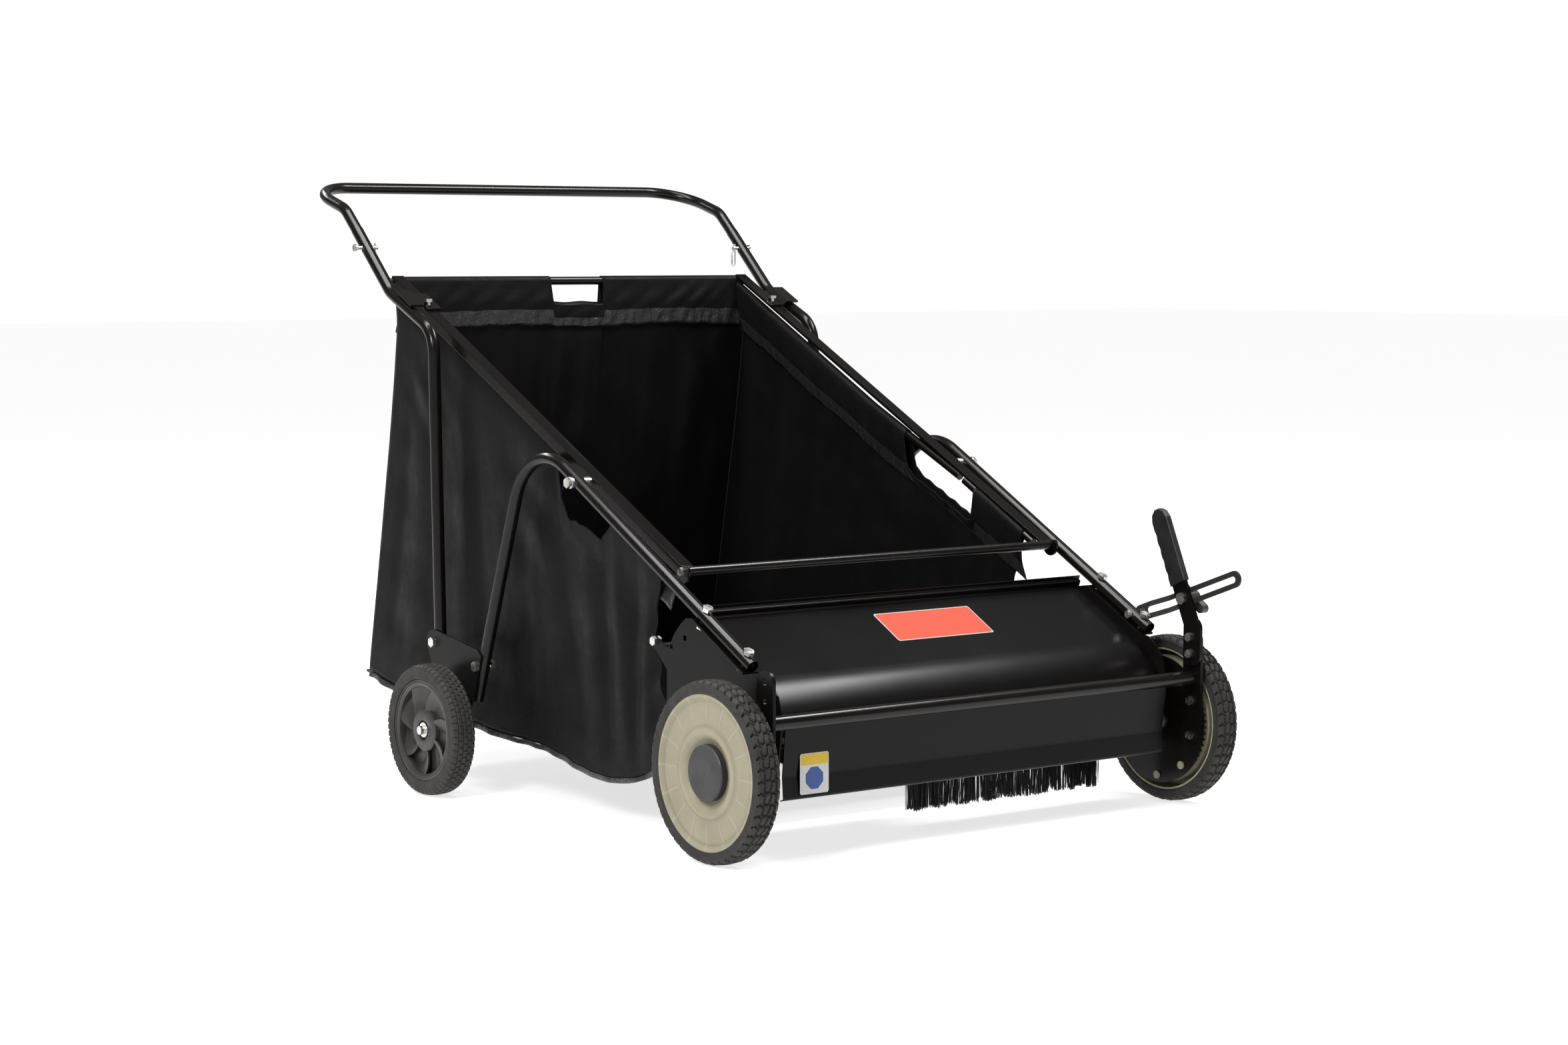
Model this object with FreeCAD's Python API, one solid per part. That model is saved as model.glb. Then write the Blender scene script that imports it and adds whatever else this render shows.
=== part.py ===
import FreeCAD, Part
import math
import os

# Push lawn sweeper. Two geared front wheels turn a bristle brush that throws leaves into a fabric hopper,
# which hangs on two angle rails between the frame tubes.
# Working frame: millimetres, +Z up, -Y forward, Y = 0 at the front wheel axle, Z = 0 on the ground, X = 0 in
# the middle. When the parts are written, everything moves along Y so that the origin is under the middle of
# the assembly's box.

V = FreeCAD.Vector
LEFT, RIGHT = -1, 1

# driving dimensions: wheels, brush and gears
AXLE = (0.0, 116.5)                # front wheel axle (y, z); its height is the front wheel's radius
WHEEL_X = (380.0, 414.7)           # inner and outer face of the front tyres
WHEEL_SEAT_R = 99.3                # outer radius of the front hub, where the tyre sits
HUB_X = (381.0, 413.0)             # inner and outer edge of the front hub's rim
HUB_RIBS = 16
CAP_SEAT_X = 404.0                 # floor of the hub's dish, where its cap sits
CAP_R = 36.2
MODULE = 2.7
RING_TEETH = 60
PINION_TEETH = 15
PRESSURE = math.radians(20)
BACKLASH = 0.5
CENTRE_DISTANCE = MODULE * (RING_TEETH - PINION_TEETH) / 2
LINE_OF_CENTRES = math.radians(9.01)
BRUSH = (AXLE[0] + CENTRE_DISTANCE * math.cos(LINE_OF_CENTRES),
         AXLE[1] + CENTRE_DISTANCE * math.sin(LINE_OF_CENTRES))
BRUSH_R = 108.0
SHAFT_R = 6.35
FIT = 0.05                         # radial clearance of every running fit
REAR_AXLE = (671.5, 93.0)
REAR_WHEEL_X = (379.4, 415.2)
REAR_BOSS_X = 407.5                # outer face of the rear hub's bearing boss

# driving dimensions: frame
TUBE_X = 345.0
TUBE_R = 8.75
TUBE_WALL = 1.45
SLOPE = math.radians(28.75)        # rise of the front frame tubes and of the cover
TUBE_END = (-10.0, 245.7)
PLATE_X = (332.5, 335.0)           # side plates of the brush housing
SHEET = 1.5
HANDLE_R = 8.25
HANDLE_BAR = (1092.0, 862.0)
PIN_HOLE_X = 331.0                 # where the hairpins cross the handle pins

# driving dimensions: height adjustment
HEIGHT_TUBE = (-71.0, 182.0)
STRAP_X = (368.0, 372.5)
DISC_X = (372.5, 374.5)
LEVER_X = (363.0, 368.0)
CLAMP = (-54.0, 290.0)             # clamp bolt, where the lever crosses the slotted stay
STAY_SLOPE = math.radians(19.6)
STAY_PIVOT_RUN = 74.0              # from the clamp bolt back to the stay's pivot, along Y
SLOT_HALF = 4.5
STAY_HALF = 11.5

# driving dimensions: hopper
RAIL_FOOT = (164.7, 354.5)         # top fold of the rails, lower end
RAIL_TOP = (887.0, 730.5)          # the same fold, upper end
RAIL_X = 324.0
RAIL_T = 3.0
RAIL_FLANGE = 19.0
RAIL_LEG = 14.0
PIVOT = (379.0, 456.5)
FRONT_ROD = (167.0, 351.0)
ROD_R = 6.35
HEM_ROD_X = 308.4
HEM_ROD_R = 6.0
BAG_X = 318.8
BAG_T = 2.5


# ---------------------------------------------------------------- shape helpers
def box(x0, x1, y0, y1, z0, z1):
    return Part.makeBox(x1 - x0, y1 - y0, z1 - z0, V(x0, y0, z0))


def rod_x(x0, x1, centre, radius):
    """A round bar along X."""
    return Part.makeCylinder(radius, x1 - x0, V(x0, centre[0], centre[1]), V(1, 0, 0))


def ring_x(x0, x1, centre, outer, inner):
    return rod_x(x0, x1, centre, outer).cut(rod_x(x0 - 1, x1 + 1, centre, inner))


def hex_x(x0, x1, centre, flats, turn=0.0):
    """A hexagonal prism along X, 'flats' across its flats."""
    radius = flats / math.sqrt(3)
    corners = []
    for i in range(6):
        angle = turn + math.radians(60 * i + 30)
        corners.append((centre[0] + radius * math.cos(angle), centre[1] + radius * math.sin(angle)))
    return prism_x(corners, x0, x1)


def prism_x(outline, x0, x1):
    """A closed outline in the YZ plane, extruded along X."""
    points = [V(x0, y, z) for y, z in outline]
    face = Part.Face(Part.makePolygon(points + points[:1]))
    return face.extrude(V(x1 - x0, 0, 0))


def bent_path(points, radii):
    """Straight runs joined by arcs of the given radii."""
    corners = [V(*p) for p in points]
    edges = []
    last = corners[0]
    for before, corner, after, radius in zip(corners, corners[1:], corners[2:], radii):
        back = (before - corner).normalize()
        ahead = (after - corner).normalize()
        half = back.getAngle(ahead) / 2
        start = corner + back * (radius / math.tan(half))
        end = corner + ahead * (radius / math.tan(half))
        middle = corner + (back + ahead).normalize() * (radius / math.sin(half) - radius)
        if (start - last).Length > 0.001:
            edges.append(Part.LineSegment(last, start).toShape())
        edges.append(Part.Arc(start, middle, end).toShape())
        last = end
    edges.append(Part.LineSegment(last, corners[-1]).toShape())
    return Part.Wire(edges)


def rod(points, radii, radius):
    """A round bar along a bent path."""
    start = V(*points[0])
    circle = Part.Circle(start, V(*points[1]) - start, radius).toShape()
    return bent_path(points, radii).makePipeShell([Part.Wire([circle])], True, False)


def tube(points, radii, radius, wall=TUBE_WALL):
    return rod(points, radii, radius).cut(rod(points, radii, radius - wall))


def in_plane(x, outline):
    return [(x, y, z) for y, z in outline]


def sheet_strip(outline, radii, thickness, x0, x1):
    """A folded sheet: a bent line in the YZ plane, thickened to its left and extruded along X."""
    wire = bent_path(in_plane(x0, outline), radii)
    other = [V(x0, y, z) for y, z in offset_line(outline, thickness)]
    grown = [r + t for r, t in zip(radii, turn_signs(outline, thickness))]
    back = bent_path([(p.x, p.y, p.z) for p in other], grown)
    ends = [Part.LineSegment(wire.OrderedVertexes[0].Point, back.OrderedVertexes[0].Point).toShape(),
            Part.LineSegment(wire.OrderedVertexes[-1].Point, back.OrderedVertexes[-1].Point).toShape()]
    edges = Part.__sortEdges__(wire.Edges + back.Edges + ends)
    return Part.Face(Part.Wire(edges)).extrude(V(x1 - x0, 0, 0))


def turn_signs(outline, thickness):
    """How much each bend's radius grows on the thickened side."""
    growth = []
    for a, b, c in zip(outline, outline[1:], outline[2:]):
        cross = (b[0] - a[0]) * (c[1] - b[1]) - (b[1] - a[1]) * (c[0] - b[0])
        growth.append(-thickness if cross > 0 else thickness)
    return growth


def offset_line(outline, distance):
    """The same corner line moved to its left by 'distance'."""
    normals = []
    for a, b in zip(outline, outline[1:]):
        length = math.hypot(b[0] - a[0], b[1] - a[1])
        normals.append((-(b[1] - a[1]) / length, (b[0] - a[0]) / length))
    moved = [(outline[0][0] + normals[0][0] * distance, outline[0][1] + normals[0][1] * distance)]
    for corner, n, m in zip(outline[1:-1], normals, normals[1:]):
        scale = distance / (1 + n[0] * m[0] + n[1] * m[1])
        moved.append((corner[0] + (n[0] + m[0]) * scale, corner[1] + (n[1] + m[1]) * scale))
    moved.append((outline[-1][0] + normals[-1][0] * distance, outline[-1][1] + normals[-1][1] * distance))
    return moved


def along(start, angle, run, rise=0.0):
    """A point 'run' along a line at 'angle' from 'start', and 'rise' square to it."""
    return (start[0] + run * math.cos(angle) - rise * math.sin(angle),
            start[1] + run * math.sin(angle) + rise * math.cos(angle))


def turned_bar(start, end, half, x0, x1):
    """A flat bar with rounded ends between two points of the YZ plane."""
    angle = math.atan2(end[1] - start[1], end[0] - start[0])
    length = math.hypot(end[0] - start[0], end[1] - start[1])
    corners = [along(start, angle, 0, half), along(start, angle, length, half),
               along(start, angle, length, -half), along(start, angle, 0, -half)]
    bar = prism_x(corners, x0, x1)
    return bar.fuse([rod_x(x0, x1, start, half), rod_x(x0, x1, end, half)]).removeSplitter()


def bar_between(start, end, radius):
    a, b = V(*start), V(*end)
    return Part.makeCylinder(radius, (b - a).Length, a, b - a)


def revolve_x(profile, centre):
    """An outline of (x, radius) turned about an axle that runs along X."""
    points = [V(x, centre[0], centre[1] + r) for x, r in profile]
    face = Part.Face(Part.makePolygon(points + points[:1]))
    return face.revolve(V(0, centre[0], centre[1]), V(1, 0, 0), 360)


def on_side(shape, side):
    """Shapes are drawn on the right; the left one is the mirror image."""
    return shape if side == RIGHT else shape.mirror(V(0, 0, 0), V(1, 0, 0))


def fused(first, *others):
    return first.fuse(list(others)).removeSplitter()


def rail_line(run_y, down=0.0):
    """A point under the rails' top fold, at the given Y, 'down' square to the rail."""
    slope = math.atan2(RAIL_TOP[1] - RAIL_FOOT[1], RAIL_TOP[0] - RAIL_FOOT[0])
    run = (run_y - RAIL_FOOT[0]) / math.cos(slope)
    return along(RAIL_FOOT, slope, run, -down)


def tube_line(y):
    """Centre line of the front frame tubes at the given Y."""
    return (y, TUBE_END[1] + (y - TUBE_END[0]) * math.tan(SLOPE))


# ---------------------------------------------------------------- gears
def involute(angle):
    return math.tan(angle) - angle


def flank(teeth, radius, half_pitch):
    """Half angle of an involute tooth at a radius."""
    base = MODULE * teeth / 2 * math.cos(PRESSURE)
    angle = math.acos(min(1.0, base / radius))
    return half_pitch + involute(PRESSURE) - involute(angle)


def toothed(centre, teeth, radii, play, start, x0, x1):
    """An involute toothed prism; radii run from the root to the tip of a tooth."""
    half_pitch = math.pi / (2 * teeth) + play / (MODULE * teeth)
    corners = []
    for i in range(teeth):
        middle = start + 2 * math.pi * i / teeth
        sides = [(r, flank(teeth, r, half_pitch)) for r in radii]
        for r, half in sides:
            corners.append((r, middle - half))
        for r, half in reversed(sides):
            corners.append((r, middle + half))
    outline = [(centre[0] + r * math.cos(a), centre[1] + r * math.sin(a)) for r, a in corners]
    return prism_x(outline, x0, x1)


def pinion():
    pitch = MODULE * PINION_TEETH / 2
    radii = [pitch - 1.25 * MODULE, pitch - 0.4 * MODULE, pitch, pitch + 0.5 * MODULE, pitch + 0.95 * MODULE]
    gear = toothed(BRUSH, PINION_TEETH, radii, -BACKLASH / 2, LINE_OF_CENTRES, 384.0, 396.0)
    boss = rod_x(380.0, 384.0, BRUSH, 12.0)
    return fused(gear, boss)


def ring_gear_space():
    """The toothed hole of the internal gear."""
    pitch = MODULE * RING_TEETH / 2
    radii = [pitch - 0.74 * MODULE, pitch - 0.3 * MODULE, pitch, pitch + 0.6 * MODULE, pitch + 1.2 * MODULE]
    hole = toothed(AXLE, RING_TEETH, radii, BACKLASH / 2, LINE_OF_CENTRES, 382.0, 397.0)
    return hole.cut(rod_x(380.0, 400.0, AXLE, 60.0))


# ---------------------------------------------------------------- brush housing
def side_plate(side):
    """Pressed side plate: a web round the brush end, with a flange bent out under the frame tube."""
    x0, x1 = PLATE_X
    flange_start, flange_end = -5.0, 103.0
    bottom = TUBE_R / math.cos(SLOPE)
    top_front = (flange_start, tube_line(flange_start)[1] - bottom)
    top_rear = (flange_end, tube_line(flange_end)[1] - bottom)
    web = prism_x([top_front, top_rear, (134, 293.5), (146, 292.8), (156, 286), (171, 271), (181, 256),
                   (186, 250), (221, 267), (225, 256), (188, 222), (189, 112), (160, 86), (120, 79), (-42, 79),
                   (-48, 84), (-47, 110), (-55, 170), (-53, 192), (-47, 212), (-31, 229.5), (-19, 237)], x0, x1)
    under = along(top_front, SLOPE, 0, -2.5)
    under_end = along(top_rear, SLOPE, 0, -2.5)
    flange = prism_x([top_front, top_rear, under_end, under], x0, 357.0)
    plate = fused(web, flange)
    holes = [rod_x(x0 - 1, x1 + 1, BRUSH, 10.0), rod_x(x0 - 1, x1 + 1, (214, 257), 3.2)]
    for y, z in ((178, 253.5), (148, 266.7)):
        holes.append(box(x0 - 1, x1 + 1, y - 3.3, y + 3.3, z - 3.3, z + 3.3))
    for run_y in (4.3, 90.3):
        y, z = tube_line(run_y)
        holes.append(bar_between((TUBE_X, *along((y, z), SLOPE, 0, -20)), (TUBE_X, y, z), 4.0))
    return on_side(plate.cut(holes), side)


def top_cover():
    """Folded cover: a stepped rear edge, a flat slope, a bend round the brush and a forward lip."""
    outline = [(117.3, 310), (119.8, 304.9), (115.6, 302.7), (120.0, 294.4), (-24.6, 214.7), (-43, 184.7),
               (-56, 186)]
    return sheet_strip(outline, [1.7, 1.7, 2.0, 117.0, 2.0], SHEET, -PLATE_X[0], PLATE_X[0])


def front_panel():
    """Lower front sheet, creased along its middle and hemmed along the bottom."""
    outline = [(-46.4, 79.8), (-52.2, 81.3), (-50, 110), (-57.2, 182.6), (-46, 181.6)]
    return sheet_strip(outline, [2.0, 20.0, 2.0], SHEET, -330.0, 330.0)


def brush_bearings():
    """Bushes in the side plates: the brush shaft turns inside, the height carrier turns outside."""
    bushes = []
    for side in (LEFT, RIGHT):
        sleeve = rod_x(PLATE_X[0], 376.0, BRUSH, 10.0)
        collar = rod_x(329.5, PLATE_X[0], BRUSH, 16.0)
        bore = rod_x(320.0, 380.0, BRUSH, SHAFT_R + FIT)
        bushes.append(on_side(fused(sleeve, collar).cut(bore), side))
    return Part.makeCompound(bushes)


# ---------------------------------------------------------------- frame
def front_frame_tube(side):
    path = [TUBE_END, (494.6, 522.5), (632, 135)]
    bent = tube(in_plane(TUBE_X, path), [84.3], TUBE_R)
    cuts = []
    for run_y in (4.3, 90.3):
        y, z = tube_line(run_y)
        cuts.append(bar_between((TUBE_X, *along((y, z), SLOPE, 0, -12)),
                                (TUBE_X, *along((y, z), SLOPE, 0, 12)), 4.0))
    cuts.append(rod_x(330, 360, PIVOT, 4.0))
    cuts.append(rod_x(330, 360, (614.3, 185), 4.0))
    if side == RIGHT:
        cuts.append(rod_x(330, 360, stay_pivot(), 3.0))
    return on_side(bent.cut(cuts), side)


def rear_frame_tube(side):
    path = [(727.5, 196), (740, 651.8), (855, 706), (950, 797)]
    bent = tube(in_plane(TUBE_X, path), [48, 45], TUBE_R)
    cuts = [rod_x(330, 360, (728, 208.6), 4.0), rod_x(330, 360, handle_pin(), 3.2)]
    return on_side(bent.cut(cuts), side)


def handle_pin():
    return along((950, 797), math.atan2(91, 95), -37.0)


def upper_handle():
    """Push handle: one bent tube whose ends are swaged to slide into the rear frame tubes."""
    half = [(950, 797), (984, 828.5), HANDLE_BAR]
    path = in_plane(TUBE_X, half) + in_plane(-TUBE_X, reversed(half))
    bent = tube(path, [45, 70, 70, 45], HANDLE_R)
    angle = math.atan2(91, 95)
    pieces = []
    for side in (LEFT, RIGHT):
        end = [(TUBE_X, *along((950, 797), angle, -62)), (TUBE_X, *along((950, 797), angle, 0.6))]
        insert = bar_between(*end, TUBE_R - TUBE_WALL).cut(bar_between(*end, TUBE_R - TUBE_WALL - 1.3))
        insert = insert.cut(rod_x(330, 360, handle_pin(), 3.2))
        pieces.append(on_side(insert, side))
    return fused(bent, *pieces)


def handle_pins():
    """Clevis pins that lock the handle, with their heads outboard; the left one stands further out."""
    pins = []
    for side, head_x in ((LEFT, 366.0), (RIGHT, 359.0)):
        shank = rod_x(PIN_HOLE_X - 4.0, head_x, handle_pin(), 3.2)
        head = rod_x(head_x - 2.5, head_x, handle_pin(), 5.5)
        hole = Part.makeCylinder(1.3, 20, V(PIN_HOLE_X, handle_pin()[0], handle_pin()[1] - 10), V(0, 0, 1))
        pins.append(on_side(fused(shank, head).cut(hole), side))
    return Part.makeCompound(pins)


def hairpins():
    """Wire hairpins hanging from the pins' cross holes."""
    wires = []
    for side in (LEFT, RIGHT):
        x = side * PIN_HOLE_X
        y, z = handle_pin()
        path = [(x, y, z + 7), (x, y, z - 28), (x, y + 8, z - 28), (x, y + 8, z - 10), (x, y + 3.6, z - 3)]
        wires.append(rod(path, [3.9, 3.9, 4.0], 1.1))
    return Part.makeCompound(wires)


WHEEL_PLATE = [(603, 199), (613, 208), (728, 227), (742, 224), (746, 212), (744, 200), (690, 84), (680, 75),
               (663, 75), (652, 84), (624, 139)]
FRAME_BOLTS = [(728, 208.6), (614.3, 185)]


def wheel_plate(side):
    """Flat plate that joins the two frame tubes and carries the rear stub axle."""
    plate = prism_x(WHEEL_PLATE, TUBE_X + TUBE_R, TUBE_X + TUBE_R + 2.75)
    holes = [rod_x(350, 360, c, 4.0) for c in FRAME_BOLTS]
    holes.append(rod_x(350, 360, REAR_AXLE, 6.0))
    return on_side(plate.cut(holes), side)


def rear_axles():
    """Shouldered stub axles, one on each wheel plate."""
    axles = []
    for side in (LEFT, RIGHT):
        shaft = rod_x(350.0, 417.0, REAR_AXLE, 6.0)
        shoulder = rod_x(356.5, REAR_WHEEL_X[0] - 0.5, REAR_AXLE, 10.0)
        nut = hex_x(345.5, 353.75, REAR_AXLE, 19.0)
        axles.append(on_side(fused(shaft, shoulder, nut), side))
    return Part.makeCompound(axles)


def push_nuts():
    nuts = []
    for side in (LEFT, RIGHT):
        nuts.append(on_side(ring_x(REAR_BOSS_X + 0.5, REAR_BOSS_X + 2.5, REAR_AXLE, 10.5, 6.0), side))
    return Part.makeCompound(nuts)


def frame_bolts():
    """Hexagon bolts and nuts of the frame joints and of the housing lugs."""
    bolts = []
    for side in (LEFT, RIGHT):
        for centre in FRAME_BOLTS:
            bolt = fused(rod_x(330.5, 358.0, centre, 4.0), hex_x(356.5, 362.0, centre, 13.0),
                         hex_x(330.0, 336.25, centre, 13.0))
            bolts.append(on_side(bolt, side))
        for run_y in (4.3, 90.3):
            bolts.append(on_side(slope_bolt(run_y), side))
        lug = (214, 257)
        bolt = fused(rod_x(328.5, 337.0, lug, 3.2), hex_x(335.0, 340.0, lug, 11.0),
                     hex_x(328.0, 332.5, lug, 11.0))
        bolts.append(on_side(bolt, side))
    return Part.makeCompound(bolts)


def slope_bolt(run_y):
    """A bolt square to the sloping tube, down through the side plate's flange."""
    centre = tube_line(run_y)
    bolt = fused(rod_x(-TUBE_R - 10, TUBE_R + 5, (0, 0), 4.0), hex_x(TUBE_R, TUBE_R + 5.3, (0, 0), 13.0),
                 hex_x(-TUBE_R - 9.0, -TUBE_R - 2.5, (0, 0), 13.0))
    bolt.rotate(V(0, 0, 0), V(0, 1, 0), -90)
    bolt.rotate(V(0, 0, 0), V(1, 0, 0), math.degrees(SLOPE))
    bolt.translate(V(TUBE_X, centre[0], centre[1]))
    return bolt


def hopper_pivot_bolts():
    """Bolts through the frame tubes; the hopper rails hang and turn on them."""
    bolts = []
    for side in (LEFT, RIGHT):
        big = rod_x(336.25, 358.0, PIVOT, 4.0)
        thin = rod_x(315.3, 336.25, PIVOT, 3.0)
        head = hex_x(357.0, 362.6, PIVOT, 13.0)
        washer = rod_x(353.75, 357.0, PIVOT, 8.0)
        nut = hex_x(315.3, 320.6, PIVOT, 9.2)
        bolts.append(on_side(fused(big, thin, head, washer, nut), side))
    return Part.makeCompound(bolts)


def pivot_spacers():
    spacers = [on_side(ring_x(RAIL_X + 0.4, 336.25, PIVOT, 7.0, 3.0), side) for side in (LEFT, RIGHT)]
    return Part.makeCompound(spacers)


# ---------------------------------------------------------------- height adjustment
def stay_pivot():
    return (CLAMP[0] + STAY_PIVOT_RUN, CLAMP[1] - STAY_PIVOT_RUN * math.tan(STAY_SLOPE))


def stay_bolt():
    """Bolt through the right frame tube that the slotted stay turns on."""
    centre = stay_pivot()
    pieces = [rod_x(330.5, 364.0, centre, 3.0), rod_x(353.75, 357.05, centre, 6.5),
              hex_x(360.75, 364.5, centre, 10.0), hex_x(331.0, 336.25, centre, 10.0)]
    return fused(*pieces)


def slotted_stay():
    """Slotted bar between the frame tube and the height lever, set outward in its middle."""
    tip = along(stay_pivot(), math.pi - STAY_SLOPE, 178.0)
    slot_start = along(stay_pivot(), math.pi - STAY_SLOPE, 17.0)
    slot_end = along(stay_pivot(), math.pi - STAY_SLOPE, 176.0)
    flat = turned_bar(stay_pivot(), tip, STAY_HALF, 350, 380)
    flat = flat.cut([turned_bar(slot_start, slot_end, SLOT_HALF, 349, 381),
                     rod_x(349, 381, stay_pivot(), 3.0 + FIT)])
    plan = [(357.4, 50), (357.4, 0), (368.4, -24), (368.4, -180), (371.4, -180), (371.4, -23.4),
            (360.4, 0.6), (360.4, 50)]
    points = [V(x, y, 200) for x, y in plan]
    joggle = Part.Face(Part.makePolygon(points + points[:1])).extrude(V(0, 0, 200))
    return flat.common(joggle)


def height_tube():
    return ring_x(-STRAP_X[0], STRAP_X[0], HEIGHT_TUBE, 9.75, 8.2)


STRAP_BOLTS = [(-68, 149.5), (-68, 101.5)]
LEVER_BOLTS = [(-70, 238), (-70, 215)]


def strap(side):
    """Upright strap that joins the height tube to the wheel disc."""
    bar = turned_bar((-70, 101), (-70, 233), 17.0, *STRAP_X)
    holes = [rod_x(367, 374, c, 3.2) for c in STRAP_BOLTS]
    for y, z in ((-70, 234.6), (-70, 211.3)) if side == LEFT else ():
        holes.append(turned_bar((y, z - 0.45), (y, z + 0.45), 3.75, 367, 374))
    if side == RIGHT:
        holes += [rod_x(367, 374, c, 3.2) for c in LEVER_BOLTS]
    return on_side(bar.cut(holes), side)


def wheel_disc(side):
    """Pressed disc that closes the inner side of the front wheel and holds its axle."""
    disc = rod_x(*DISC_X, AXLE, 89.0)
    holes = [rod_x(372, 375, BRUSH, 10.0 + FIT), rod_x(372, 375, AXLE, SHAFT_R)]
    holes += [rod_x(372, 375, c, 3.2) for c in STRAP_BOLTS]
    holes += [rod_x(372, 375, c, 2.5) for c in DISC_RIVETS]
    return on_side(disc.cut(holes), side)


DISC_RIVETS = [(0, 37.7), (-46.7, 56.7)]


def front_axles():
    axles = []
    for side in (LEFT, RIGHT):
        pieces = [rod_x(366.0, CAP_SEAT_X + 6.5, AXLE, SHAFT_R), rod_x(368.5, DISC_X[0], AXLE, 14.0)]
        axles.append(on_side(fused(*pieces), side))
    return Part.makeCompound(axles)


def axle_retainers():
    start = CAP_SEAT_X + 0.5
    rings = [on_side(ring_x(start, start + 1.8, AXLE, 10.0, SHAFT_R), side) for side in (LEFT, RIGHT)]
    return Part.makeCompound(rings)


def strap_bolts():
    bolts = []
    for side in (LEFT, RIGHT):
        for centre in STRAP_BOLTS:
            bolt = fused(rod_x(364.5, 377.0, centre, 3.2), hex_x(363.8, STRAP_X[0], centre, 11.0),
                         hex_x(DISC_X[1], 377.6, centre, 10.0))
            bolts.append(on_side(bolt, side))
    for centre in LEVER_BOLTS:
        bolts.append(fused(rod_x(360.0, 377.5, centre, 3.2), hex_x(358.8, LEVER_X[0], centre, 11.0),
                           hex_x(STRAP_X[1], 377.5, centre, 11.0)))
    return Part.makeCompound(bolts)


def disc_rivets():
    rivets = []
    for side in (LEFT, RIGHT):
        for centre in DISC_RIVETS:
            rivet = fused(rod_x(371.5, 375.4, centre, 2.5), rod_x(370.2, DISC_X[0], centre, 5.5),
                          rod_x(DISC_X[1], 375.5, centre, 4.0))
            rivets.append(on_side(rivet, side))
    return Part.makeCompound(rivets)


LEVER_KINK = (-74.0, 250.0)
LEVER_TOP = (-10.5, 396.0)
GRIP_X = (360.6, 370.4)


def height_lever():
    """Flat lever, bolted to the right strap and cranked back above it."""
    lower = turned_bar((-74, 215), LEVER_KINK, 16.0, *LEVER_X)
    upper = turned_bar(LEVER_KINK, LEVER_TOP, 13.0, *LEVER_X)
    holes = [rod_x(362, 369, c, 3.2) for c in LEVER_BOLTS] + [rod_x(362, 369, CLAMP, 2.5)]
    return fused(lower, upper).cut(holes)


def lever_grip():
    """Thin moulded sleeve over the lever's upper end, with finger hollows along its rear edge."""
    angle = math.atan2(LEVER_TOP[1] - LEVER_KINK[1], LEVER_TOP[0] - LEVER_KINK[0])
    start = along(LEVER_KINK, angle, 66.0)
    outline = [along(start, angle, 0, 15), along(start, angle, 93, 15), along(start, angle, 103, 11.5),
               along(start, angle, 108.5, 4), along(start, angle, 108.5, -4), along(start, angle, 103, -11.5),
               along(start, angle, 93, -15), along(start, angle, 0, -15)]
    grip = prism_x(outline, *GRIP_X)
    edges = [e for e in grip.Edges if abs(e.Vertexes[0].X - e.Vertexes[-1].X) < 0.1 and e.Length < 100]
    grip = grip.makeFillet(1.5, edges)
    hollows = [rod_x(355, 376, along(start, angle, 17 + 19 * i, -28.0), 15.0) for i in range(4)]
    pocket = turned_bar(LEVER_KINK, LEVER_TOP, 13.0, *LEVER_X)
    return grip.cut(hollows + [pocket])


def clamp_bolt():
    head = rod_x(359.5, LEVER_X[0], CLAMP, 8.0)
    return fused(head, rod_x(360.0, 388.0, CLAMP, 2.5))


def clamp_knob():
    """Winged knob on the end of the clamp bolt."""
    hub = rod_x(371.8, 390.0, CLAMP, 10.0)
    wing_angle = math.radians(34)
    wings = turned_bar(along(CLAMP, wing_angle, -24), along(CLAMP, wing_angle, 24), 6.5, 378.0, 389.0)
    return fused(hub, wings).cut(rod_x(371, 388.3, CLAMP, 2.5 + FIT))


# ---------------------------------------------------------------- wheels
def front_hub(side):
    """Moulded wheel with a ridged outer face and an internal gear on its inner side."""
    x0, x1 = HUB_X
    outside = [(CAP_SEAT_X, SHAFT_R + FIT), (CAP_SEAT_X, 37.5), (405.0, 40.5), (409.0, 46.0), (410.9, 49.5),
               (411.8, 53.0), (411.5, 56.5), (410.0, 60.0), (409.6, 64.0), (409.6, 89.0), (410.6, 92.0),
               (x1, 95.5), (x1, WHEEL_SEAT_R)]
    inside = [(x0, WHEEL_SEAT_R), (x0, 97.0), (406.5, 95.0), (406.5, 88.5), (384.0, 88.5), (384.0, 75.0),
              (397.0, 75.0), (397.0, 85.5), (406.4, 85.5), (406.4, 50.0), (401.0, 38.0), (401.0, 15.0),
              (377.0, 13.0), (376.0, SHAFT_R + FIT)]
    body = revolve_x(outside + inside, AXLE).cut(ring_gear_space())
    ribs = []
    for i in range(HUB_RIBS):
        rib = box(402.5, 409.8, -1.2, 1.2, 62.0, 87.0)
        rib.rotate(V(0, 0, 0), V(1, 0, 0), 360.0 / HUB_RIBS * i)
        rib.translate(V(0, AXLE[0], AXLE[1]))
        ribs.append(rib)
    return on_side(body.fuse(ribs).removeSplitter(), side)


def front_tyre(side):
    x0, x1 = WHEEL_X
    outer = AXLE[1]
    profile = [(x0 + 1, WHEEL_SEAT_R), (x0, WHEEL_SEAT_R + 3), (x0, outer - 5), (x0 + 5, outer - 1),
               ((x0 + x1) / 2 - 4, outer), ((x0 + x1) / 2 + 4, outer), (x1 - 5, outer - 1), (x1, outer - 5),
               (x1, WHEEL_SEAT_R + 3), (x1 - 1, WHEEL_SEAT_R)]
    return on_side(revolve_x(profile, AXLE), side)


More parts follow.
